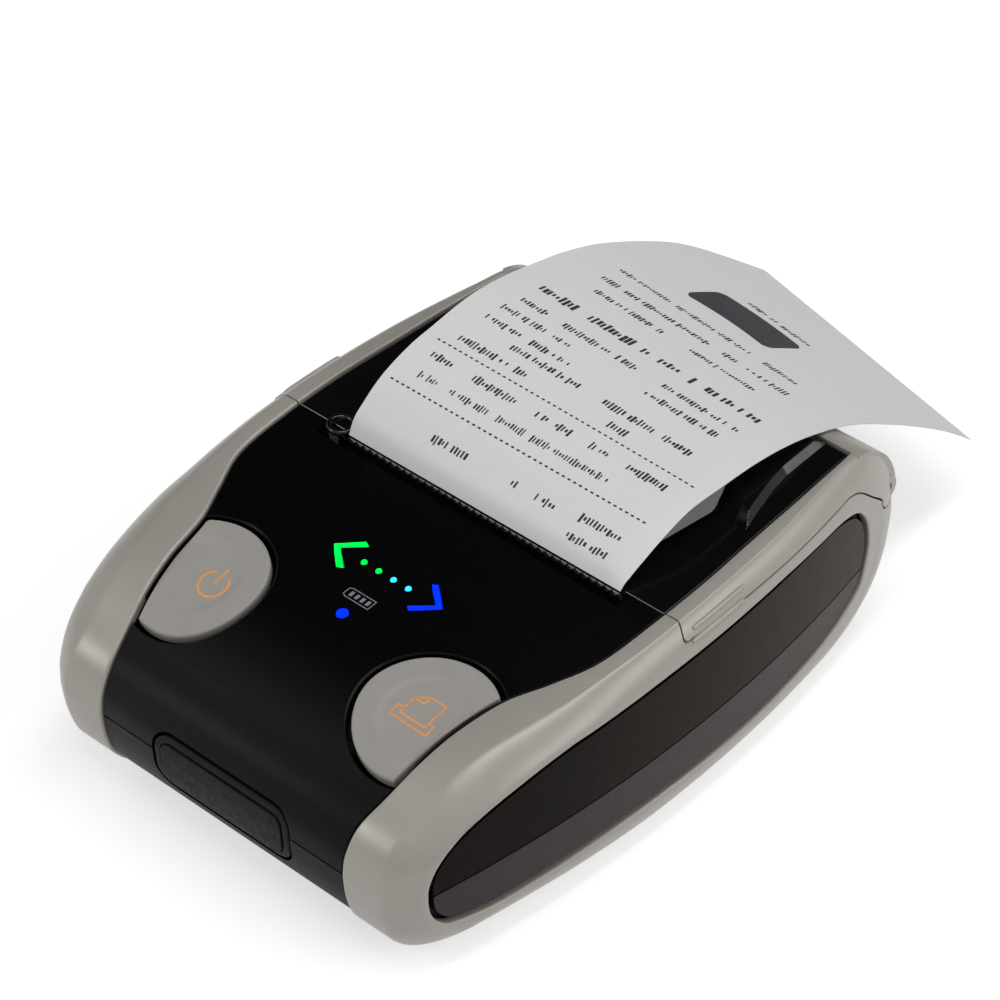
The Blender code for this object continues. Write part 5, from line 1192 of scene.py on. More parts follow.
class PrinterCaseSettings(bpy.types.PropertyGroup):
    grey: color_setting(
        "Bumper grey", "Colour of the bumpers and the lid's frame", linear(160, 155, 148),
    )
    key_grey: color_setting("Key grey", "Colour of the two round keys", linear(151, 148, 143))
    black: color_setting(
        "Case black", "Colour of the band between the bumpers", (0.0012, 0.0012, 0.0014),
    )
    lid_black: color_setting(
        "Lid black", "Colour of the lid's polished cover", (0.002, 0.002, 0.0024),
    )
    edge_radius: length_setting(
        "Edge radius", "Rounding of the bumpers along the black band", 0.00045,
    )
    lip_radius: length_setting("Lip radius", "Rounding of the side openings' lips", 0.0005)
    grain_height: FloatProperty(
        name="Grain height", description="Depth of the moulded grain on the grey parts",
        subtype="DISTANCE", unit="LENGTH", min=0.0, max=0.0001, default=0.000003,
    )
    dish_depth: length_setting("Key dish", "Depth of the dish in each key", 0.0004, 0.0)
    rib_height: length_setting("Rib height", "Height of the grip ribs on the lid's wings", 0.0004)


class PrinterReceiptSettings(bpy.types.PropertyGroup):
    paper: color_setting("Paper", "Colour of the receipt paper", linear(210, 212, 211))
    ink: color_setting("Print", "Colour of the print on the receipt", linear(48, 50, 54))
    seed: IntProperty(
        name="Print seed", description="Start number of the made-up print", default=11, min=0,
    )


class PrinterLightSettings(bpy.types.PropertyGroup):
    green: color_setting(
        "Green", "Colour of the left bracket and the first lights", (0.0, 1.0, 0.06),
    )
    cyan: color_setting("Cyan", "Colour of the last two lights of the row", (0.03, 0.60, 1.0))
    blue: color_setting("Blue", "Colour of the right bracket and the lamp", (0.0, 0.02, 1.0))
    strength: FloatProperty(
        name="Brightness", description="Strength of the lights", min=0.0, max=20.0, default=1.6,
    )
    sign_ink: color_setting("Key print", "Colour of the signs on the keys", linear(214, 152, 92))


class PrinterStageSettings(bpy.types.PropertyGroup):
    room: FloatProperty(
        name="Room light", description="Strength of the light from all round", min=0, max=3,
        default=0.5,
    )
    front_right: power_setting(
        "Front right lamp", "Power of the high lamp on the camera's side", 0.3,
    )
    rear_right: power_setting(
        "Rear right lamp", "Power of the lamp that draws the bright ridges", 3.5,
    )
    front_left: power_setting(
        "Front left lamp", "Power of the lamp that lights the front face", 2.6,
    )
    overhead: power_setting(
        "Overhead strip", "Power of the long lamp that picks out the bumpers' ridges", 4.4,
    )
    lens: FloatProperty(
        name="Lens", description="Focal length of the camera", subtype="DISTANCE_CAMERA",
        min=20, max=400, default=130.44,
    )


# Pieces


class PRINTER_OT_bumpers(bpy.types.Operator):
    """Two grey bumpers, each a ring round an oval of the black case."""

    bl_idname = "printer.bumpers"
    bl_label = "Bumpers"

    def execute(self, context):
        settings = context.scene.printer_case
        points = bumper_points(settings.edge_radius, settings.lip_radius)
        for name, side in (("left", -1.0), ("right", 1.0)):
            ring = tube_solid(f"{name}_bumper_skin", points * (side, 1.0, 1.0))
            carve(
                ring,
                (CUT, lid_space("cutter", FIT, SWEPT_LIP_ANGLE)),
                (CUT, wing_tab("tab_cutter", side, FIT)),
            )
            settle(ring, "case", (f"{name}_bumper",), ("bumper_grey",))
        return {"FINISHED"}


def rib_solid(name, side, share, start, height):
    """Grip rib: a round bar that follows the bumper's corner at one share of its turn, and whose
    radius falls to nothing at both ends as the fourth root of the distance left."""
    line = VIEW.corner(0.5 * math.pi * share)
    near = line[: VIEW.half_count + 1]
    near = near[near[:, 2] > SEAM_HEIGHT]
    y = start + np.linspace(0.0, RIB_LENGTH, 60)
    path = np.column_stack([np.interp(y, near[:, 1], near[:, k]) for k in (0, 1, 2)])
    t = np.linspace(-1, 1, len(y))
    radius = height * np.maximum(1 - np.abs(t) ** 10, 0.0) ** 0.25
    turn = full_circle(20)
    loops = np.empty((len(y), 20, 3))
    loops[..., 0] = path[:, None, 0] + radius[:, None] * np.cos(turn)
    loops[..., 1] = path[:, None, 1]
    loops[..., 2] = path[:, None, 2] + radius[:, None] * np.sin(turn)
    loops[[0, -1]] = path[[0, -1], None]
    return loft_solid(name, loops * (side, 1.0, 1.0), (False, False))


class PRINTER_OT_lid_frame(bpy.types.Operator):
    """Grey frame of the lid: two wings, the rear bar and the knuckles of the hinge."""

    bl_idname = "printer.lid_frame"
    bl_label = "Lid frame"

    def execute(self, context):
        settings = context.scene.printer_case
        rear = np.clip((BAR_FRONT + 0.002 - VIEW.outer[:, 0]) / 0.004, 0.0, 1.0)
        radius = 0.00002 + (settings.edge_radius - 0.00002) * rear
        points = bumper_points(radius, settings.lip_radius)
        ring = tube_solid("lid_frame_skin", points * MIRROR)
        bar_half = BARREL_HALF - FIT
        bar = rind_solid("bar", 0.00002, FLOOR_TOP)
        low, high = (-bar_half, BAR_FRONT, SEAM_HEIGHT), (bar_half, BODY_LENGTH, BODY_LENGTH)
        carve(bar, (KEEP, box_solid("bar_space", low, high)))
        ends = rounded_ends(-BARREL_HALF, BARREL_HALF, BARREL_RADIUS, PIN_HOLE_RADIUS, SMALL_RIM)
        space = lid_space("lid_cutter", 0.0, HINGE_LIP_ANGLE)
        carve(space, *((JOIN, wing_tab("tab", side, 0.0)) for side in (-1.0, 1.0)))
        carve(
            ring,
            (JOIN, tube_solid("right_ring", points)),
            (JOIN, bar),
            (JOIN, turned_x("barrel", HINGE_Y, HINGE_Z, ends)),
            (KEEP, space),
        )
        room = EAR_RADIUS + 2 * FIT
        swept = circle(HINGE_Y, HINGE_Z, room + FIT, 48)
        steps = []
        for side in (-1, 1):
            low, high = sorted((side * (EAR_INNER - FIT), side * (EAR_INNER + EAR_WIDTH + FIT)))
            for outline in (ear_outline(room, HINGE_Z - BODY_HEIGHT), swept):
                steps.append((CUT, prism("notch", outline, low, high, X)))
        steps.append((CUT, pin_bore("bore", EAR_INNER + EAR_WIDTH + KNUCKLE_REACH)))
        for side in (-1.0, 1.0):
            for share, start in RIB_PLACES:
                steps.append((JOIN, rib_solid("rib", side, share, start, settings.rib_height)))
        carve(ring, *steps)
        settle(ring, "lid", ("lid_frame",), ("bumper_grey",))
        return {"FINISHED"}


def ring_solid(name, centre, radius, tube):
    """Ring that lies flat: a circle of the tube's radius carried round a larger circle."""
    around, turn = np.meshgrid(full_circle(72), full_circle(24), indexing="ij")
    reach = radius + tube * np.cos(turn)
    x, y, z = reach * np.cos(around), reach * np.sin(around), tube * np.sin(turn)
    return tube_solid(name, np.stack([x, y, z], axis=-1) + np.array(centre))


class PRINTER_OT_lid_cover(bpy.types.Operator):
    """Polished black cover of the lid, with the platen's two arms. Its swelling over the roll is
    the smooth larger of two forms, each a height along the lid times a fall across it."""

    bl_idname = "printer.lid_cover"
    bl_label = "Lid cover"

    def execute(self, context):
        length = BAR_FRONT - FIT - LID_FRONT
        bevel = 0.00035
        turn = quarter(6)
        rim = bevel * (1 - np.cos(turn))
        middle = np.linspace(bevel, length - bevel, 240)[1:-1]
        along = np.concatenate([rim, middle, length - rim[::-1]])
        y = LID_FRONT + along
        rows = smooth_rows(HUMP_ROW_SHARES, 120)
        front, rear = (
            np.clip(np.interp(along / length, rows[:, 0], rows[:, k]), 0, 1) for k in (1, 2)
        )
        half = VIEW.band_half(y) - FIT / 2
        taper = HUMP_FRONT_TAPER * np.maximum(HUMP_TAPER_END_SHARE * length - along, 0.0)
        front_foot = HUMP_FRONT_FOOT - taper
        rear_foot = np.interp(along / length, *np.array(HUMP_REAR_FEET).T)
        rear_foot = np.minimum(rear_foot, half - 1.5 * bevel)
        stops = (
            np.zeros(len(y)), front_foot - HUMP_FLANK, front_foot,
            rear_foot - HUMP_REAR_FACET / HUMP_SLOPE, rear_foot, half - bevel,
        )
        inner = np.concatenate([
            low[:, None] + (high - low)[:, None] * np.arange(count) / count
            for low, high, count in zip(stops[:-1], stops[1:], (10, 24, 16, 7, 8))
        ], axis=1)
        right = np.concatenate([inner, half[:, None] - bevel + bevel * np.sin(turn)], axis=1)
        x = np.concatenate([-right[:, :0:-1], right], axis=1)
        drop = np.concatenate([rim[::-1], np.zeros(2 * inner.shape[1] - 1), rim])
        near = bevel - np.minimum(np.minimum(along, length - along), bevel)
        ends = bevel - np.sqrt(np.maximum(bevel**2 - near**2, 0.0))

        def form(shares, foot, facet):
            """Height of one form: a steep facet, then a nearly flat crown, up to its share."""
            inside = np.maximum(foot[:, None] - np.abs(x), 0.0)
            crown = facet + HUMP_CROWN_SLOPE * (inside - facet / HUMP_SLOPE)
            return np.minimum(np.minimum(HUMP_SLOPE * inside, crown), HUMP_HEIGHT * shares[:, None])

        first, second = form(front, front_foot, HUMP_HEIGHT), form(rear, rear_foot, HUMP_REAR_FACET)
        swell = np.logaddexp(first / HUMP_SOFTNESS, second / HUMP_SOFTNESS) * HUMP_SOFTNESS
        swell -= math.log(2) * HUMP_SOFTNESS * np.exp(-np.maximum(first, second) / HUMP_SOFTNESS)
        base = band_top(y)[:, None] + swell
        across = np.broadcast_to(y[:, None], x.shape)
        top = np.stack([x, across, base - np.maximum(drop[None, :], ends[:, None])], axis=-1)
        bottom = np.stack([x, across, base - LID_SKIN], axis=-1)
        cover = slab_solid("lid_cover_skin", top, bottom)
        arm_top = float(band_top(PLATEN_Y)) - LID_SKIN / 2
        arm = np.vstack([
            circle(PLATEN_Y, PLATEN_Z, ARM_RADIUS, 32, math.pi, 2 * math.pi),
            [(PLATEN_Y + ARM_RADIUS, arm_top), (PLATEN_Y - ARM_RADIUS + FIT, arm_top)],
        ])
        bore = circle(PLATEN_Y, PLATEN_Z, BUSH_RADIUS + FIT / 2, 48)
        carve(
            cover,
            *((JOIN, prism("arm", arm, x, x + ARM_THICKNESS, X)) for x in (ARM_LEFT, ARM_RIGHT)),
            (CUT, prism("bush_bore", bore, -HALF_WIDTH, HALF_WIDTH, X)),
        )
        settle(cover, "lid", ("lid_cover",), ("lid_gloss",), 14)
        centre = (RING_X, RING_Y, float(band_top(RING_Y)))
        ring = ring_solid("slot_end_ring", centre, RING_RADIUS, RING_TUBE)
        settle(ring, "lid", (), ("lid_gloss",))
        return {"FINISHED"}


class PRINTER_OT_case_shells(bpy.types.Operator):
    """Upper and lower black shells, with the openings for the lid, keys, lights, flap and base."""

    bl_idname = "printer.case_shells"
    bl_label = "Case shells"

    def execute(self, context):
        reach = HALF_WIDTH + BODY_LENGTH
        tall = BODY_LENGTH / 2
        seam = SEAM_HEIGHT + FIT / 2
        wing = rind_solid("wing_clear", -OVERRUN, BAND_DROP + LID_SKIN + WING_CLEARANCE)
        carve(wing, (KEEP, lid_space("wing_space", FIT, SWEPT_LIP_ANGLE)))
        rear = lid_space("rear_clear", FIT, SWEPT_LIP_ANGLE)
        low, high = (-tall, BAR_FRONT - FIT, 0.0), (tall, BODY_LENGTH, BODY_LENGTH)
        carve(rear, (KEEP, box_solid("rear_box", low, high)))
        slot_floor = float(VIEW.height(SLOT_FRONT)) - SLOT_DEPTH
        bay_low = (-BAY_HALF, LID_FRONT - FIT, SEAM_HEIGHT - OVERRUN)
        bay_high = (BAY_HALF, HINGE_Y - BARREL_RADIUS - FIT, tall)
        slot_low, slot_high = (-SLOT_HALF, SLOT_FRONT, slot_floor), (SLOT_HALF, LID_FRONT, tall)
        steps = [
            (KEEP, box_solid("upper_part", (-reach, -reach, seam), (reach, reach, reach))),
            (CUT, wing),
            (CUT, box_solid("bay", bay_low, bay_high)),
            (CUT, box_solid("slot", slot_low, slot_high)),
            (CUT, rear),
        ]
        for side in (-1, 1):
            low, high = sorted((side * EAR_INNER, side * (EAR_INNER + EAR_WIDTH)))
            ear = ear_outline(EAR_RADIUS, EAR_HEEL_HEIGHT)
            steps.append((JOIN, prism("ear", ear, low, high, X)))
        steps.append((CUT, pin_bore("ear_bore", EAR_INNER + EAR_WIDTH + OVERRUN)))
        for x in (-KEY_X, KEY_X):
            hole = key_hole("key_hole", x, KEY_RADIUS + KEY_GAP, SMALL_RIM)
            carve(hole, (KEEP, band_solid("key_limit", -KEY_RADIUS / 2, FIT)))
            steps.append((CUT, hole))
        for outline in light_outlines():
            steps.append((CUT, prism("light_hole", outline, SEAM_HEIGHT, tall, Z)))
        self.shell("upper", steps, "inlay_brown")

        seam = SEAM_HEIGHT - FIT / 2
        steps = [(KEEP, box_solid("lower_part", (-reach, -reach, -reach), (reach, reach, seam)))]
        for x, y, seat in both_sides(SCREW_SPOTS):
            foot = seat - SHELL_WALL if seat > DEEP_SEAT else BOSS_FOOT
            boss = prism("boss", circle(x, y, BOSS_RADIUS, 48), foot, SEAM_HEIGHT - FIT, Z)
            carve(boss, (KEEP, band_solid("boss_limit", BAND_DROP + FIT, FIT)))
            steps.append((JOIN, boss))
            well = circle(x, y, SCREW_HEAD_RADIUS + SCREW_CLEARANCE, 48)
            steps.append((CUT, prism("well", well, -OVERRUN, seat, Z)))
        for x, y in both_sides(FOOT_SPOTS):
            well = circle(x, y, FOOT_RADIUS + FIT, 48)
            steps.append((CUT, prism("foot_well", well, -OVERRUN, FOOT_HEIGHT + FIT, Z)))
        low = (-DOOR_HALF - FIT, DOOR_FRONT - FIT, -OVERRUN)
        high = (DOOR_HALF + FIT, DOOR_REAR + FIT, SHELL_WALL + FLOOR_TOP)
        steps.append((CUT, box_solid("door_hole", low, high)))
        self.shell("lower", steps, "inlay_grey")
        return {"FINISHED"}

    def shell(self, name, steps, inlay):
        """One half of the case: the body less its cavity, then the steps, then the flap's space."""
        shell = body_solid(f"{name}_shell_skin", 0.0, True)
        hollow = (CUT, body_solid(f"{name}_cavity", SHELL_WALL, False))
        carve(shell, hollow, *steps, (CUT, port_space("port")))
        settle(shell, "case", (f"{name}_shell",), ("case_black", inlay))
        mark_inlay(shell)


def dish(radius, depth):
    """Depth of a key's dish: half of it in a smooth step at the rim, half in a shallow bowl that
    falls with the square of the radius."""
    s = np.clip((DISH_RADIUS - radius) / DISH_RIM, 0, 1)
    bowl = np.clip(1 - (radius / DISH_RADIUS) ** 2, 0, 1)
    return depth * (0.5 * s * s * (3 - 2 * s) + 0.5 * bowl)


def key_solid(name, centre_x, dish_depth):
    """Key: loops at growing reach from its centre, then down its rounded edge and back below to
    the stem."""
    angle = full_circle(144)
    reach = key_reach(centre_x, angle, KEY_GAP)
    bevel = 0.0004

    def loop(radius, lift):
        return key_place(centre_x, radius * np.cos(angle), radius * np.sin(angle), lift)

    loops = []
    for share in np.linspace(0, 1, 70):
        radius = (reach - bevel) * share
        loops.append(loop(radius, KEY_RISE - dish(radius, dish_depth)))
    for turn in quarter(7)[1:]:
        lift = np.full(len(angle), KEY_RISE - bevel * (1 - math.cos(turn)))
        loops.append(loop(reach - bevel * (1 - math.sin(turn)), lift))
    under = np.full(len(angle), KEY_RISE - KEY_WALL)
    loops += [loop(reach, under), loop(KEY_STEM_RADIUS, under)]
    flat = flat_ring(0.0, 0.0, KEY_STEM_RADIUS, angle, KEY_STEM_END)
    loops.append(flat @ key_axes().T + np.array([centre_x, KEY_Y, KEY_TOP_Z]))
    loops = np.array(loops)
    loops[0] = loops[0].mean(axis=0)
    return loft_solid(name, loops, (False, True))


def stroke_loops(path, width, closed):
    """Left and right edges of a drawn line: each point of the path moved sideways along the mean
    of its two neighbouring directions, further at a sharp corner so that the width stays even."""
    path = np.asarray(path, float)
    if closed:
        before, after = path - np.roll(path, 1, axis=0), np.roll(path, -1, axis=0) - path
    else:
        step = np.diff(path, axis=0)
        before, after = np.vstack([step[:1], step]), np.vstack([step, step[-1:]])
    before = before / np.linalg.norm(before, axis=1)[:, None]
    after = after / np.linalg.norm(after, axis=1)[:, None]
    mean = before + after
    mean /= np.linalg.norm(mean, axis=1)[:, None]
    cosine = np.clip((mean * after).sum(axis=1), 0.4, 1.0)
    side = np.column_stack([-mean[:, 1], mean[:, 0]]) * (width / 2 / cosine)[:, None]
    return path + side, path - side


def finely(path, step, closed):
    """The path with points added so that none are further apart than the step."""
    path = np.asarray(path, float)
    if closed:
        path = np.vstack([path, path[:1]])
    length = np.linalg.norm(np.diff(path, axis=0), axis=1)
    counts = np.maximum(np.ceil(length / step).astype(int), 1)
    found = [
        a + (b - a) * np.arange(n)[:, None] / n for a, b, n in zip(path[:-1], path[1:], counts)
    ]
    return np.vstack(found if closed else [*found, path[-1:]])


def drawn_lines(name, lines, place):
    """One mesh of thin raised lines; each line is (path, width, closed), and place turns flat
    places and a height into places in the scene."""
    points, faces, caps, start = [], [], [], 0
    for path, width, closed in lines:
        left, right = stroke_loops(finely(path, 0.00025, closed), width, closed)
        corners = ((left, SIGN_LIFT), (right, SIGN_LIFT), (right, -SIGN_SINK), (left, -SIGN_SINK))
        ring = np.stack([place(edge[:, 0], edge[:, 1], lift) for edge, lift in corners], axis=1)
        rows = len(ring)
        points.append(ring.reshape(-1, 3))
        faces.append(grid_faces(rows, 4, closed, True, start))
        if not closed:
            caps += [range(start, start + 4), range(start + 4 * rows - 4, start + 4 * rows)]
        start += 4 * rows
    return closed_solid(name, np.vstack(points), np.vstack(faces), caps)


class PRINTER_OT_keys(bpy.types.Operator):
    """Two round keys, cut off by the bumpers, with the power and paper feed signs on them."""

    bl_idname = "printer.keys"
    bl_label = "Keys"

    def execute(self, context):
        dish_depth = context.scene.printer_case.dish_depth
        power = [
            (circle(0.0, 0.0, 0.0025, 48, math.radians(120), math.radians(420)), 0.00046, False),
            (((0.0, 0.0002), (0.0, 0.0034)), 0.00046, False),
        ]
        feed = [
            (((-0.0036, -0.0017), (0.0015, -0.0017), (0.0016, 0.0030), (-0.00145, 0.0030),
              (-0.0036, 0.0016)), 0.00036, True),
            (((-0.00145, 0.0030), (-0.0016, 0.0015), (-0.0036, 0.0016)), 0.00036, False),
            (((-0.0036, -0.0007), (-0.0048, -0.0007), (-0.0048, -0.0026), (0.0025, -0.0028),
              (0.0025, -0.0009), (0.00155, -0.0009)), 0.00036, False),
        ]
        for name, body, x, spot, sign in (
            ("power", "power_key", -KEY_X, (0.00365, -0.00015), power),
            ("feed", "feed_key", KEY_X, (0.0, 0.0), feed),
        ):
            key = key_solid(f"{name}_key_cap", x, dish_depth)
            settle(key, body, (f"{name}_button",), ("key_grey",))

            def place(across, along, lift, x=x, spot=spot):
                across, along = across + spot[0], along + spot[1]
                depth = dish(np.hypot(across, along), dish_depth)
                return key_place(x, across, along, KEY_RISE - depth + lift)

            lines = drawn_lines(f"{name}_sign", sign, place)
            settle(lines, body, (), ("key_ink",))
        return {"FINISHED"}


class PRINTER_OT_lights(bpy.types.Operator):
    """Lit brackets, the row of four lights, the lamp and the small battery sign between them."""

    bl_idname = "printer.lights"
    bl_label = "Lights"

    def execute(self, context):
        settings = context.scene.printer_lights
        for nodes, name, color in (
            (("green_bracket_lens",), "green_glow", settings.green),
            (("level_lens_1", "level_lens_2"), "green_level_glow", settings.green),
            (("level_lens_3", "level_lens_4"), "cyan_glow", settings.cyan),
            (("blue_bracket_lens", "status_lamp_lens"), "blue_glow", settings.blue),
        ):
            mat = glowing(name, tuple(color), settings.strength)
            for node in nodes:
                finish_node(node, mat)

        def place(across, along, lift):
            y = BATTERY_SIGN_Y + along
            return np.stack([across, y, band_top(y) + lift], axis=-1)

        outline = ((-0.0028, -0.0007), (-0.0023, -0.0010), (0.0026, -0.0010), (0.0026, 0.0010),
                   (-0.0023, 0.0010), (-0.0028, 0.0007))
        lines = [(outline, 0.00016, True)]
        bars = (-0.00165, -0.0005, 0.00065, 0.0018)
        lines += [(((x, -0.0005), (x, 0.0005)), 0.0006, False) for x in bars]
        sign = drawn_lines("battery_sign", lines, place)
        settle(sign, "case", (), ("pale_ink",))
        return {"FINISHED"}


class PRINTER_OT_port_flap(bpy.types.Operator):
    """Soft flap over the sockets, with a raised panel."""

    bl_idname = "printer.port_flap"
    bl_label = "Socket flap"

    def execute(self, context):
        half = VIEW.half_count
        order = np.concatenate([np.arange(half + 12, VIEW.count), np.arange(0, half)])
        wall = VIEW.outer[order]
        normal = VIEW.outer_in[order]
        front = wall[:, 0] < -0.045
        wall, normal = wall[front], normal[front]
        rank = np.argsort(wall[:, 1], kind="stable")
        wall, normal = wall[rank], normal[rank]

        def loop(margin, depth):
            outline = port_outline(margin)
            y, in_y, in_z = (
                np.interp(outline[:, 1], wall[:, 1], v) for v in (wall[:, 0], *normal.T)
            )
            return np.column_stack([outline[:, 0], y + in_y * depth, outline[:, 1] + in_z * depth])

        bevel, soft, groove = 0.0003, 0.0001, 0.0004
        turns = quarter(5)
        edge, foot, panel = -0.00015, -0.0013, BAND_DROP - PORT_PANEL_RISE / 2
        loops = [loop(edge, BAND_DROP + PORT_SKIN)]
        loops += [
            loop(edge - bevel * (1 - math.cos(t)), BAND_DROP + bevel * (1 - math.sin(t)))
            for t in turns
        ]
        loops += [
            loop(foot - soft * math.sin(t), BAND_DROP + soft * (1 - math.cos(t))) for t in turns
        ]
        loops += [loop(place, BAND_DROP + groove) for place in (foot - soft, foot - groove)]
        loops += [
            loop(foot - groove - soft * (1 - math.cos(t)), panel + soft * (1 - math.sin(t)))
            for t in turns
        ]
        reach = np.linspace(-foot + 0.0008, (PORT_TOP - PORT_BOTTOM) / 2, 7)
        loops += [loop(-margin, panel) for margin in reach]
        back = [loop(-margin, BAND_DROP + PORT_SKIN) for margin in reach[::-1]]
        flap = loft_solid("port_flap_skin", np.array(back + loops), (False, False))
        settle(flap, "port_flap", ("port_cover",), ("soft_rubber",), 40)
        return {"FINISHED"}


def evenly(edge, count):
    """(count + 1) places at equal steps of length along a smooth line through (y, z) points, and
    the line's whole length."""
    fine = smooth_rows(edge, 12 * len(edge))
    length = np.concatenate([[0.0], np.cumsum(np.linalg.norm(np.diff(fine, axis=0), axis=1))])
    at = np.linspace(0, length[-1], count + 1)
    places = np.column_stack([np.interp(at, length, fine[:, 0]), np.interp(at, length, fine[:, 1])])
    return places, length[-1]


class Ruled:
    """Paper between two long edges: straight across at equal shares of both edges' lengths, less
    a curl that bends the right edge down with the square of the distance into its strip, and that
    fades along the paper."""

    def __init__(self, left, right, curl=0.0):
        self.curl = curl
        self.left, self.left_length = evenly(left, PAPER_ROWS)
        self.right, self.right_length = evenly(right, PAPER_ROWS)

    def at(self, across, share):
        """Places for a share of the width and a share of the length."""
        step = np.clip(share, 0, 1) * PAPER_ROWS
        index = np.arange(PAPER_ROWS + 1)
        y, z = (
            np.interp(step, index, self.left[:, k]) * (1 - across)
            + np.interp(step, index, self.right[:, k]) * across
            for k in (0, 1)
        )
        bend = np.clip((across - CURL_START) / (1 - CURL_START), 0, 1.2) ** 2
        fade = np.clip(1 - share / CURL_REACH, 0, 1)
        z = z - self.curl * bend * fade * np.clip(share / CURL_START_SHARE, 0, 1)
        return np.stack([PAPER_LOW + PAPER_WIDTH * across, y, z], axis=-1)

    def out(self, across, share, step=0.004):
        """Unit normal on the printed side: the cross product of the two small steps."""
        ahead = self.at(across, share + step) - self.at(across, share - step)
        beside = self.at(across + step, share) - self.at(across - step, share)
        normal = np.cross(beside, ahead)
        return normal / np.linalg.norm(normal, axis=-1)[..., None]

    def share_at(self, across, distance):
        """Share of the length at a distance from the slot, measured along the paper."""
        return distance / (self.left_length * (1 - across) + self.right_length * across)

    def layer(self, across, share, low, high):
        """Upper and lower places of a thin layer between two heights over the paper's middle."""
        middle, normal = self.at(across, share), self.out(across, share)
        return middle + normal * high, middle + normal * low

    def solid(self, name, columns=48):
        stops = [np.linspace(0, 1, count + 1) for count in (columns, PAPER_ROWS)]
        across, share = np.meshgrid(*stops)
        half = PAPER_THICKNESS / 2
        return slab_solid(name, *self.layer(across, share, -half, half))

    def print_layer(self, across, distance):
        """The layer of print at shares of the width and at distances from the slot."""
        share, face = self.share_at(across, distance), PAPER_THICKNESS / 2
        return self.layer(across, share, face - PRINT_HEIGHT, face + PRINT_HEIGHT)


# Rows of made-up print: distance from the slot, then the spans across the paper that it fills, the
# height of its marks and how heavy they are, in millimetres.
PRINT_ROWS = (
    (84.5, ((20.0, 33.5),), 2.3, 1.0),
    (61.8, ((8.0, 36.0), (38.5, 45.5)), 1.7, 0.55),
    (56.2, ((8.6, 12.5), (13.5, 32.0), (34.0, 37.0), (39.0, 47.5)), 1.8, 0.6),
    (51.2, ((11.0, 26.0), (31.0, 44.5)), 1.7, 0.55),
    (43.8, (
        (4.8, 13.0), (16.0, 25.0), (27.0, 28.5), (30.5, 35.0), (37.0, 38.0), (40.0, 51.0),
    ), 2.5, 1.0),
    (38.4, ((6.2, 12.0), (15.0, 30.5), (35.5, 50.5)), 1.8, 0.6),
    (34.6, ((5.4, 14.5), (16.0, 20.0), (35.0, 51.0)), 1.8, 0.6),
    (30.9, ((5.2, 13.0), (14.5, 18.0), (19.0, 22.5)), 1.8, 0.6),
    (28.0, ((13.0, 27.5), (32.0, 43.0), (44.0, 50.0)), 1.9, 0.65),
    (24.4, ((5.2, 19.5), (36.0, 40.0)), 1.9, 0.6),
    (18.8, (
        (4.2, 9.0), (13.0, 23.0), (26.0, 28.5), (30.0, 34.0), (37.0, 41.0), (44.5, 52.0),
    ), 1.9, 0.6),
    (14.6, ((4.6, 9.5), (10.5, 20.0), (21.5, 27.0), (28.5, 44.0)), 1.7, 0.35),
    (6.4, ((14.5, 22.0), (31.0, 32.5), (36.0, 40.0)), 2.0, 0.65),
    (7.2, ((44.5, 52.5),), 2.0, 0.65),
    (3.6, ((44.5, 52.5),), 2.0, 0.65),
)
DOTTED_ROWS = ((22.0, 2.6, 54.5), (11.6, 1.6, 54.0), (9.6, 1.2, 1.2))


def made_up_marks(rng):
    """(across, along, width, height) of each mark of the print, in millimetres. A row is set with
    close upright strokes of three heights, with a gap here and there."""
    found = []
    for distance, spans, height, weight in PRINT_ROWS:
        pitch = height * 0.34
        for start, end in spans:
            left = np.arange(start, end - pitch * 0.5, pitch)
            left = left[rng.random(len(left)) < 0.86]
            tall = height * rng.choice((0.36, 0.62, 0.86), len(left), p=(0.3, 0.45, 0.25))
            along = distance + rng.uniform(-0.06, 0.06, len(left)) * height
            wide = pitch * (0.34 + 0.22 * weight) * rng.uniform(0.8, 1.5, len(left))
            found.append(np.column_stack([left, along, wide, tall]))
    for distance, start, end in DOTTED_ROWS:
        left = np.arange(start, end, 1.15)
        size = np.broadcast_to((0.55, 0.3), (len(left), 2))
        found.append(np.column_stack([left, np.full(len(left), distance), size]))
    return np.vstack(found)


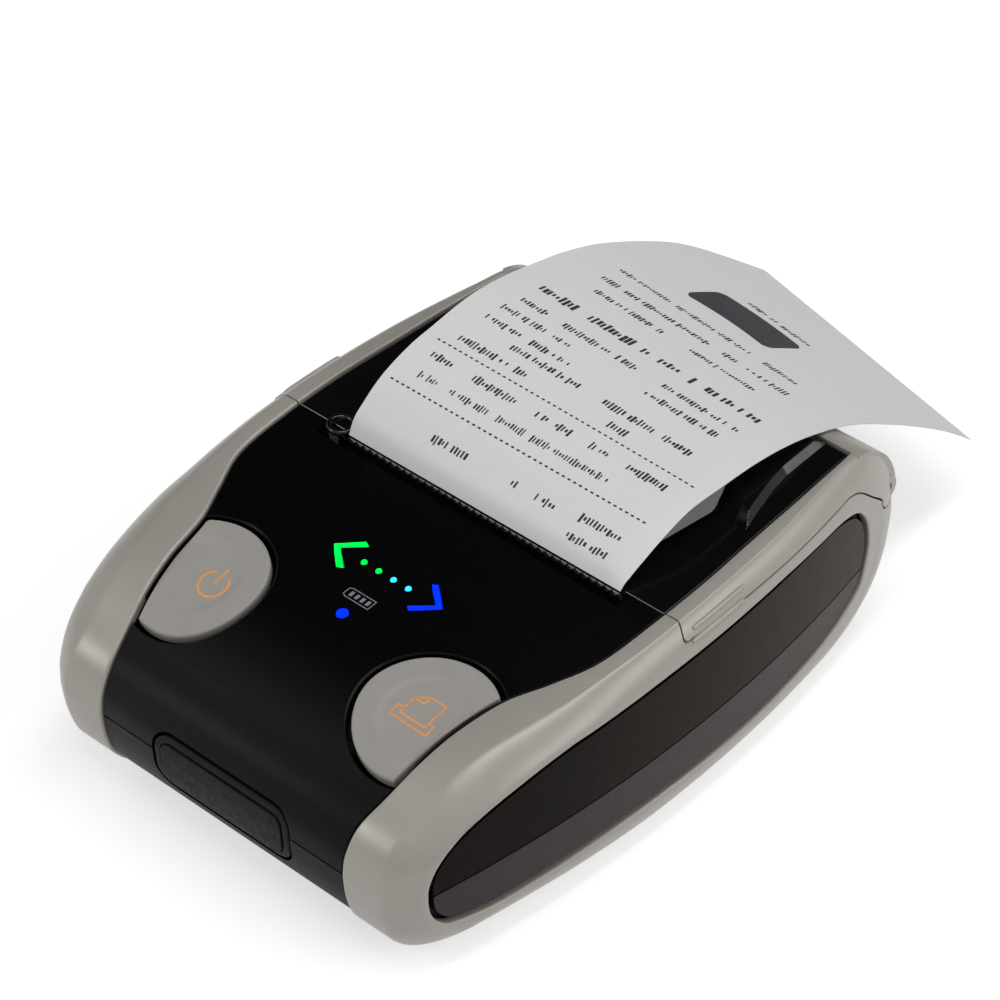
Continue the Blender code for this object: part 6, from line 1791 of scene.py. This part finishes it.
class PRINTER_OT_receipt(bpy.types.Operator):
    """Torn receipt that arches out of the slot over the lid, with made-up print on it."""

    bl_idname = "printer.receipt"
    bl_label = "Receipt"

    def execute(self, context):
        settings = context.scene.printer_receipt
        edges = []
        for shares in (RECEIPT_LEFT_SHARES, RECEIPT_RIGHT_SHARES):
            shares = np.asarray(shares)
            edges.append(np.column_stack([
                RECEIPT_START_Y + shares[:, 0] * RECEIPT_REACH,
                SLOT_HEIGHT + shares[:, 1] * RECEIPT_RISE,
            ]))
        paper = Ruled(*edges, curl=CURL_DROP)
        receipt = paper.solid("receipt")
        settle(receipt, "lid", ("receipt_strip",), ("thermal_paper",), 50)
        strokes = made_up_marks(np.random.default_rng(settings.seed))
        marks = self.marks(paper, strokes)
        block = self.block(paper)
        longest = max(paper.left_length, paper.right_length)
        return {"FINISHED"}

    def marks(self, paper, strokes):
        """Each stroke is a flat box of eight points on the paper."""
        left, distance, width, height = (strokes / 1000).T
        across = np.stack([left, left + width], axis=1) / PAPER_WIDTH
        along = np.stack([distance - height / 2, distance + height / 2], axis=1)
        layer = paper.print_layer(across[:, [0, 1, 1, 0]], along[:, [0, 0, 1, 1]])
        points = np.concatenate(layer, axis=1)
        box = np.array([
            (0, 1, 2, 3), (7, 6, 5, 4), (0, 4, 5, 1), (1, 5, 6, 2), (2, 6, 7, 3), (3, 7, 4, 0),
        ])
        faces = (np.arange(len(strokes))[:, None, None] * 8 + box).reshape(-1, 4)
        marks = bpy.data.meshes.new("receipt_print")
        marks.from_pydata(points.reshape(-1, 3).tolist(), [], faces.tolist())
        obj = add_object("receipt_print", marks)
        return settle(obj, "lid", (), ("receipt_ink",))

    def block(self, paper):
        """Plain dark block near the far end: a grid inside a leaning outline with cut corners."""
        t, s = np.meshgrid(np.linspace(0, 1, 25), np.linspace(0, 1, 25))
        squeeze = 1 - 0.12 * np.clip(np.abs(2 * s - 1) * 3 - 2, 0, 1) ** 2
        across = (BLOCK_LEFT + BLOCK_WIDTH * (0.5 + (t - 0.5) * squeeze)) / PAPER_WIDTH
        distance = BLOCK_START + BLOCK_HEIGHT * s + BLOCK_BOW * np.sin(t * math.pi)
        obj = slab_solid("receipt_block", *paper.print_layer(across, distance))
        return settle(obj, "lid", (), ("receipt_ink",))


class PRINTER_OT_paper_path(bpy.types.Operator):
    """Paper roll on its core, and the paper from the roll round the platen."""

    bl_idname = "printer.paper_path"
    bl_label = "Paper roll"

    def execute(self, context):
        low, high = PAPER_LOW, PAPER_LOW + PAPER_WIDTH
        ends = rounded_ends(low, high, ROLL_RADIUS, CORE_RADIUS + FIT, 0.0001)
        roll = turned_x("roll_of_paper", ROLL_Y, ROLL_Z, ends, 144)
        settle(roll, "roll", ("paper_roll",), ("rolled_paper",))
        ends = rounded_ends(low, high, CORE_RADIUS, CORE_RADIUS - CORE_WALL, 0.0002)
        core = turned_x("card_core", ROLL_Y, ROLL_Z, ends)
        settle(core, "roll", ("paper_core",), ("roll_card",))
        wrap = PLATEN_RADIUS + HEAD_FACE_GAP / 2
        loose, meet = ROLL_RADIUS + WEB_LIFT, WEB_LEAVES_ROLL
        arc = circle(PLATEN_Y, PLATEN_Z, wrap, 16, math.pi, 1.5 * math.pi)
        end = np.array([ROLL_Y + loose * math.cos(meet), ROLL_Z + loose * math.sin(meet)])
        straight = arc[-1] + (end - arc[-1]) * np.linspace(0, 1, 9)[1:, None]
        rise = [(RECEIPT_START_Y, SLOT_HEIGHT - 2 * FIT), (RECEIPT_START_Y, WEB_BEND_HEIGHT)]
        path = np.vstack([rise, arc, straight])
        web = Ruled(path, path)
        sheet = web.solid("paper_to_the_head", 2)
        settle(sheet, "case", ("paper_web",), ("thermal_paper",), 50)
        return {"FINISHED"}


class PRINTER_OT_rollers(bpy.types.Operator):
    """Platen, its shaft and bushes, and the motor, all turned on their own axes."""

    bl_idname = "printer.rollers"
    bl_label = "Platen and motor"

    def execute(self, context):
        bore = SHAFT_RADIUS + FIT / 2
        low, high = PAPER_LOW - FIT, PAPER_LOW + PAPER_WIDTH + FIT
        ends = rounded_ends(low, high, PLATEN_RADIUS, bore, SMALL_RIM)
        platen = turned_x("platen_roller_tube", PLATEN_Y, PLATEN_Z, ends)
        settle(platen, "platen", ("platen_roller",), ("platen_rubber",))
        low, high = GEAR_LOW - FIT, ARM_RIGHT + ARM_THICKNESS + BUSH_FLANGE
        tail = [(high, SHAFT_RADIUS), (high, ON_AXIS)]
        profile = np.vstack([[(low, ON_AXIS)], nose(low, SHAFT_RADIUS, 0.0002, 3), tail])
        shaft = turned_x("platen_shaft_rod", PLATEN_Y, PLATEN_Z, profile, 48)
        settle(shaft, "platen", ("platen_shaft",), ("bright_steel",))
        for name, arm_low, side in (("left", ARM_LEFT, -1), ("right", ARM_RIGHT, 1)):
            face_in = arm_low if side > 0 else arm_low + ARM_THICKNESS
            face_out = arm_low + ARM_THICKNESS if side > 0 else arm_low
            gap, flange = side * FIT / 2, side * BUSH_FLANGE
            profile = (
                (face_in, bore), (face_in, BUSH_RADIUS), (face_out + gap, BUSH_RADIUS),
                (face_out + gap, BUSH_FLANGE_RADIUS), (face_out + flange, BUSH_FLANGE_RADIUS),
                (face_out + flange, bore),
            )
            bush = turned_x(f"{name}_bush", PLATEN_Y, PLATEN_Z, profile, 64)
            settle(bush, "lid", (f"platen_bush_{name}",), ("gear_white",))
        start, end = MOTOR_START, MOTOR_START + MOTOR_LENGTH
        front = nose(start, MOTOR_RADIUS, MOTOR_RIM)
        groove = [(start + reach, MOTOR_RADIUS - depth) for reach, depth in MOTOR_GROOVE]
        deep = start + MOTOR_BORE_DEPTH
        narrow, wide = MOTOR_BORES
        inner = [(end, narrow), (deep, narrow), (deep, wide), (start, wide)]
        profile = np.vstack([front, groove, turned_back(front, start, end), inner])
        motor = turned_x("motor_can", MOTOR_Y, MOTOR_Z, profile)
        settle(motor, "case", ("feed_motor",), ("plate_steel",))
        return {"FINISHED"}


class PRINTER_OT_base(bpy.types.Operator):
    """Battery door with finger ridges, screws with crossed slots, and rubber feet."""

    bl_idname = "printer.base"
    bl_label = "Base"

    def execute(self, context):
        across = self.spread(-DOOR_HALF, DOOR_HALF, 60)
        x, y = np.meshgrid(across, self.spread(DOOR_FRONT, DOOR_REAR, 120))
        edge = np.minimum(DOOR_HALF - np.abs(x), np.minimum(y - DOOR_FRONT, DOOR_REAR - y))
        bevel = SMALL_RIM
        rise = bevel - np.sqrt(np.maximum(bevel**2 - np.clip(bevel - edge, 0, bevel) ** 2, 0))
        ridge = RIDGE_HEIGHT * np.clip(np.sin((y - DOOR_REAR) * 2 * math.pi / RIDGE_STEP), 0, 1)
        front, rear = (DOOR_REAR - reach for reach in RIDGE_ENDS)
        ridge *= (np.abs(x) < RIDGE_HALF) & (y > front) & (y < rear)
        low = np.stack([x, y, BAND_DROP + rise + ridge], axis=-1)
        high = np.stack([x, y, np.full_like(x, FLOOR_TOP)], axis=-1)
        door = slab_solid("battery_door_panel", high, low)
        settle(door, "battery_hatch", ("battery_door",), ("inner_black",))
        for number, (x, y, seat) in enumerate(both_sides(SCREW_SPOTS), 1):
            screw = self.screw(f"screw_{number}", x, y, seat)
            settle(screw, "case", (f"case_screw_{number}",), ("black_steel",))
        for number, (x, y) in enumerate(both_sides(FOOT_SPOTS), 1):
            foot = self.foot(f"rubber_foot_{number}", x, y)
            settle(foot, "case", (f"foot_pad_{number}",), ("soft_rubber",))
        return {"FINISHED"}

    def spread(self, low, high, count):
        """Even steps from low to high, with closer ones in the rounded rims."""
        rim = SMALL_RIM * (1 - np.cos(quarter(5)))
        middle = np.linspace(low + SMALL_RIM, high - SMALL_RIM, count)[1:-1]
        return np.concatenate([low + rim, middle, high - rim[::-1]])

    def screw(self, name, x, y, seat):
        """Head seen from below: a dome whose height falls with the square of the radius, less a
        cross where either slot's smooth step is above zero, and a shank above it."""
        top, low = seat - FIT, seat - FIT - SCREW_HEAD_HEIGHT
        radii = np.linspace(0, SCREW_HEAD_RADIUS, 26)
        radius, angle = np.meshgrid(radii, full_circle(72), indexing="ij")
        across, along = radius * np.cos(angle), radius * np.sin(angle)

        def slot(first, second):
            inside = np.clip((SCREW_SLOT_HALF - np.abs(first)) / SCREW_SLOT_WALL, 0, 1)
            return inside * np.clip((SCREW_SLOT_REACH - np.abs(second)) / SCREW_SLOT_END, 0, 1)

        depth = SCREW_SLOT_DEPTH * np.maximum(slot(across, along), slot(along, across))
        dome = SCREW_DOME * (radius / SCREW_HEAD_RADIUS) ** 2
        face = np.stack([x + across, y + along, low + dome + depth], axis=-1)
        face[0] = face[0].mean(axis=0)
        walls = [
            flat_ring(x, y, reach, angle[0], height)
            for reach, height in (
                (SCREW_HEAD_RADIUS, top), (SCREW_RADIUS, top), (SCREW_RADIUS, top + SCREW_LENGTH),
            )
        ]
        return loft_solid(name, np.concatenate([face, np.array(walls)]), (False, True))

    def foot(self, name, x, y):
        """Flat pad with a rounded rim, a quarter circle from its face to its side."""
        bevel = SMALL_RIM
        steps = [(FOOT_RADIUS * share, 0.0) for share in (0.25, 0.5, 0.75)]
        for t in quarter(6):
            steps.append((FOOT_RADIUS - bevel * (1 - math.sin(t)), bevel * (1 - math.cos(t))))
        steps.append((FOOT_RADIUS, FOOT_HEIGHT))
        rings = [flat_ring(x, y, radius, full_circle(64), z) for radius, z in steps]
        return loft_solid(name, np.array(rings))


def finish_node(name, mat):
    """Gives a CAD node its material."""
    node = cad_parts[name]
    if not node.material_slots:
        node.data.materials.append(mat)
    for place in node.material_slots:
        place.material = mat


class PRINTER_OT_inner_parts(bpy.types.Operator):
    """Finishes of the parts inside that keep the shape of their solids."""

    bl_idname = "printer.inner_parts"
    bl_label = "Inner parts"

    def execute(self, context):
        for names, mat in (
            (("hinge_pin_left", "hinge_pin_right", "motor_pinion", "head_spring"), "bright_steel"),
            (("gear_plate", "head_bracket", "usb_socket"), "plate_steel"),
            (("power_switch", "feed_switch"), "plate_steel"),
            (("tear_bar",), "black_steel"),
            (("platen_gear", "reduction_gear"), "gear_white"),
            (("print_head",), "head_ceramic"),
            (("head_heatsink",), "brushed_aluminium"),
            (("key_board", "main_board"), "board_green"),
            (("battery_pack",), "battery_wrap"),
            (("head_ribbon",), "flat_cable"),
            (("paper_tray", "motor_cradle", "dc_jack", "buzzer", "paper_sensor"), "inner_black"),
        ):
            for name in names:
                finish_node(name, finish(mat))
        return {"FINISHED"}


class PRINTER_OT_stage(bpy.types.Operator):
    """Pale floor, soft light and the camera at the picture's angle."""

    bl_idname = "printer.stage"
    bl_label = "Stage"

    def execute(self, context):
        settings = context.scene.printer_stage
        spots = ((-1, -1), (1, -1), (1, 1), (-1, 1))
        corners = [(x * FLOOR_REACH, y * FLOOR_REACH, -FLOOR_DROP) for x, y in spots]
        mesh = bpy.data.meshes.new("floor")
        mesh.from_pydata(corners, [], [(0, 1, 2, 3)])
        floor = add_object("floor", mesh)
        floor.data.materials.append(self.floor_white())
        floor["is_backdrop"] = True
        self.room(settings.room)
        self.lamp("front_right_lamp", (0.75, -0.35, 0.9), 0.7, settings.front_right)
        self.lamp("rear_right_lamp", (0.86, 0.44, 0.66), 1.0, settings.rear_right, 0.46)
        self.lamp("front_left_lamp", (-0.70, -0.80, 0.60), 0.5, settings.front_left)
        strip = self.lamp("overhead_strip", (0.08, 0.22, 1.05), 0.2, settings.overhead, 1.3)
        strip.rotation_euler = (0.0, 0.0, 0.0)
        camera = bpy.data.cameras.new("camera")
        camera.lens = settings.lens
        camera.sensor_width = 36.0
        camera.clip_start = 0.01
        obj = add_object("camera", camera)
        back = Vector(CAMERA_BACK).normalized()
        right = Vector((math.cos(CAMERA_TURN), math.sin(CAMERA_TURN), 0.0))
        turn = Matrix((right, back.cross(right), back)).transposed().to_4x4()
        obj.matrix_world = Matrix.Translation(CAMERA_PLACE) @ turn
        context.scene.camera = obj
        context.scene.view_settings.view_transform = "Standard"
        return {"FINISHED"}

    def floor_white(self):
        """Matt white floor that glows a little for the camera and in reflections, so that it is
        white where no shadow falls."""
        white = (0.62, 0.62, 0.62)
        recipe = Recipe("floor_white", white, 0.9, specular=0.0)
        recipe.link(recipe.mottle(white, 0.01, 0.3), "Base Color")
        path = recipe.node("ShaderNodeLightPath")
        seen = recipe.math("MAXIMUM", path.outputs["Is Camera Ray"], path.outputs["Is Glossy Ray"])
        seen = recipe.math("MAXIMUM", seen, path.outputs["Is Transmission Ray"])
        glow = recipe.node("ShaderNodeEmission", {"Color": (1, 1, 1, 1), "Strength": 0.56})
        clear = recipe.node("ShaderNodeEmission", {"Color": (0, 0, 0, 1), "Strength": 0.0})
        chosen = recipe.node("ShaderNodeMixShader")
        both = recipe.node("ShaderNodeAddShader")
        output = next(node for node in recipe.tree.nodes if node.type == "OUTPUT_MATERIAL")
        for source, socket in (
            (seen, chosen.inputs[0]), (clear.outputs[0], chosen.inputs[1]),
            (glow.outputs[0], chosen.inputs[2]), (recipe.shader.outputs[0], both.inputs[0]),
            (chosen.outputs[0], both.inputs[1]), (both.outputs[0], output.inputs["Surface"]),
        ):
            recipe.tree.links.new(source, socket)
        return recipe.mat

    def room(self, strength):
        """Light from all round, with a dark wall behind and to the left of the printer."""
        world = bpy.data.worlds.new("room")
        bpy.context.scene.world = world
        world.use_nodes = True
        tree = world.node_tree
        ground = next(node for node in tree.nodes if node.type == "BACKGROUND")
        ground.inputs["Strength"].default_value = strength
        coords = tree.nodes.new("ShaderNodeTexCoord")
        dot = tree.nodes.new("ShaderNodeVectorMath")
        dot.operation = "DOT_PRODUCT"
        dot.inputs[1].default_value = Vector(DARK_WALL).normalized()
        tree.links.new(coords.outputs["Generated"], dot.inputs[0])
        ramp = tree.nodes.new("ShaderNodeMapRange")
        ramp.interpolation_type = "SMOOTHSTEP"
        values = {"From Min": 0.55, "From Max": 0.92, "To Min": 1.0, "To Max": 0.05}
        for socket, value in values.items():
            ramp.inputs[socket].default_value = value
        tree.links.new(dot.outputs["Value"], ramp.inputs["Value"])
        tree.links.new(ramp.outputs["Result"], ground.inputs["Color"])

    def lamp(self, name, place, size, power, height=None):
        """Round lamp that faces the printer, or a rectangular one where a height is given."""
        light = bpy.data.lights.new(name, "AREA")
        light.shape = "RECTANGLE" if height else "DISK"
        light.size = size
        light.size_y = height or size
        light.energy = power
        obj = add_object(name, light)
        obj.location = place
        facing = Vector(place) - Vector((0, 0, 0.02))
        obj.rotation_euler = facing.to_track_quat("Z", "Y").to_euler()
        return obj


PIECES = (
    PRINTER_OT_case_shells,
    PRINTER_OT_bumpers,
    PRINTER_OT_lid_frame,
    PRINTER_OT_lid_cover,
    PRINTER_OT_keys,
    PRINTER_OT_lights,
    PRINTER_OT_port_flap,
    PRINTER_OT_rollers,
    PRINTER_OT_paper_path,
    PRINTER_OT_receipt,
    PRINTER_OT_base,
    PRINTER_OT_inner_parts,
    PRINTER_OT_stage,
)
SETTINGS = {
    "printer_case": PrinterCaseSettings,
    "printer_receipt": PrinterReceiptSettings,
    "printer_lights": PrinterLightSettings,
    "printer_stage": PrinterStageSettings,
}


class PRINTER_PT_pieces(bpy.types.Panel):
    """Settings and pieces of the printer."""

    bl_idname = "PRINTER_PT_pieces"
    bl_label = "Receipt printer"
    bl_space_type = "VIEW_3D"
    bl_region_type = "UI"
    bl_category = "Printer"

    def draw(self, context):
        for name, group in SETTINGS.items():
            box = self.layout.box()
            for field in group.__annotations__:
                box.prop(getattr(context.scene, name), field)
        column = self.layout.column()
        for piece in PIECES:
            column.operator(piece.bl_idname)


def register():
    for group in SETTINGS.values():
        bpy.utils.register_class(group)
    for name, group in SETTINGS.items():
        setattr(bpy.types.Scene, name, PointerProperty(type=group))
    for piece in PIECES:
        bpy.utils.register_class(piece)
    bpy.utils.register_class(PRINTER_PT_pieces)


def unregister():
    bpy.utils.unregister_class(PRINTER_PT_pieces)
    for piece in reversed(PIECES):
        bpy.utils.unregister_class(piece)
    for name, group in reversed(SETTINGS.items()):
        delattr(bpy.types.Scene, name)
        bpy.utils.unregister_class(group)


def main():
    register()
    for piece in PIECES:
        family, name = piece.bl_idname.split(".")
        getattr(getattr(bpy.ops, family), name)()
    boxes = {"cad": CAD_BOX, "visual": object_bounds()}
    plain = {key: [[float(v) for v in corner] for corner in box] for key, box in boxes.items()}


if __name__ == "__main__":
    main()
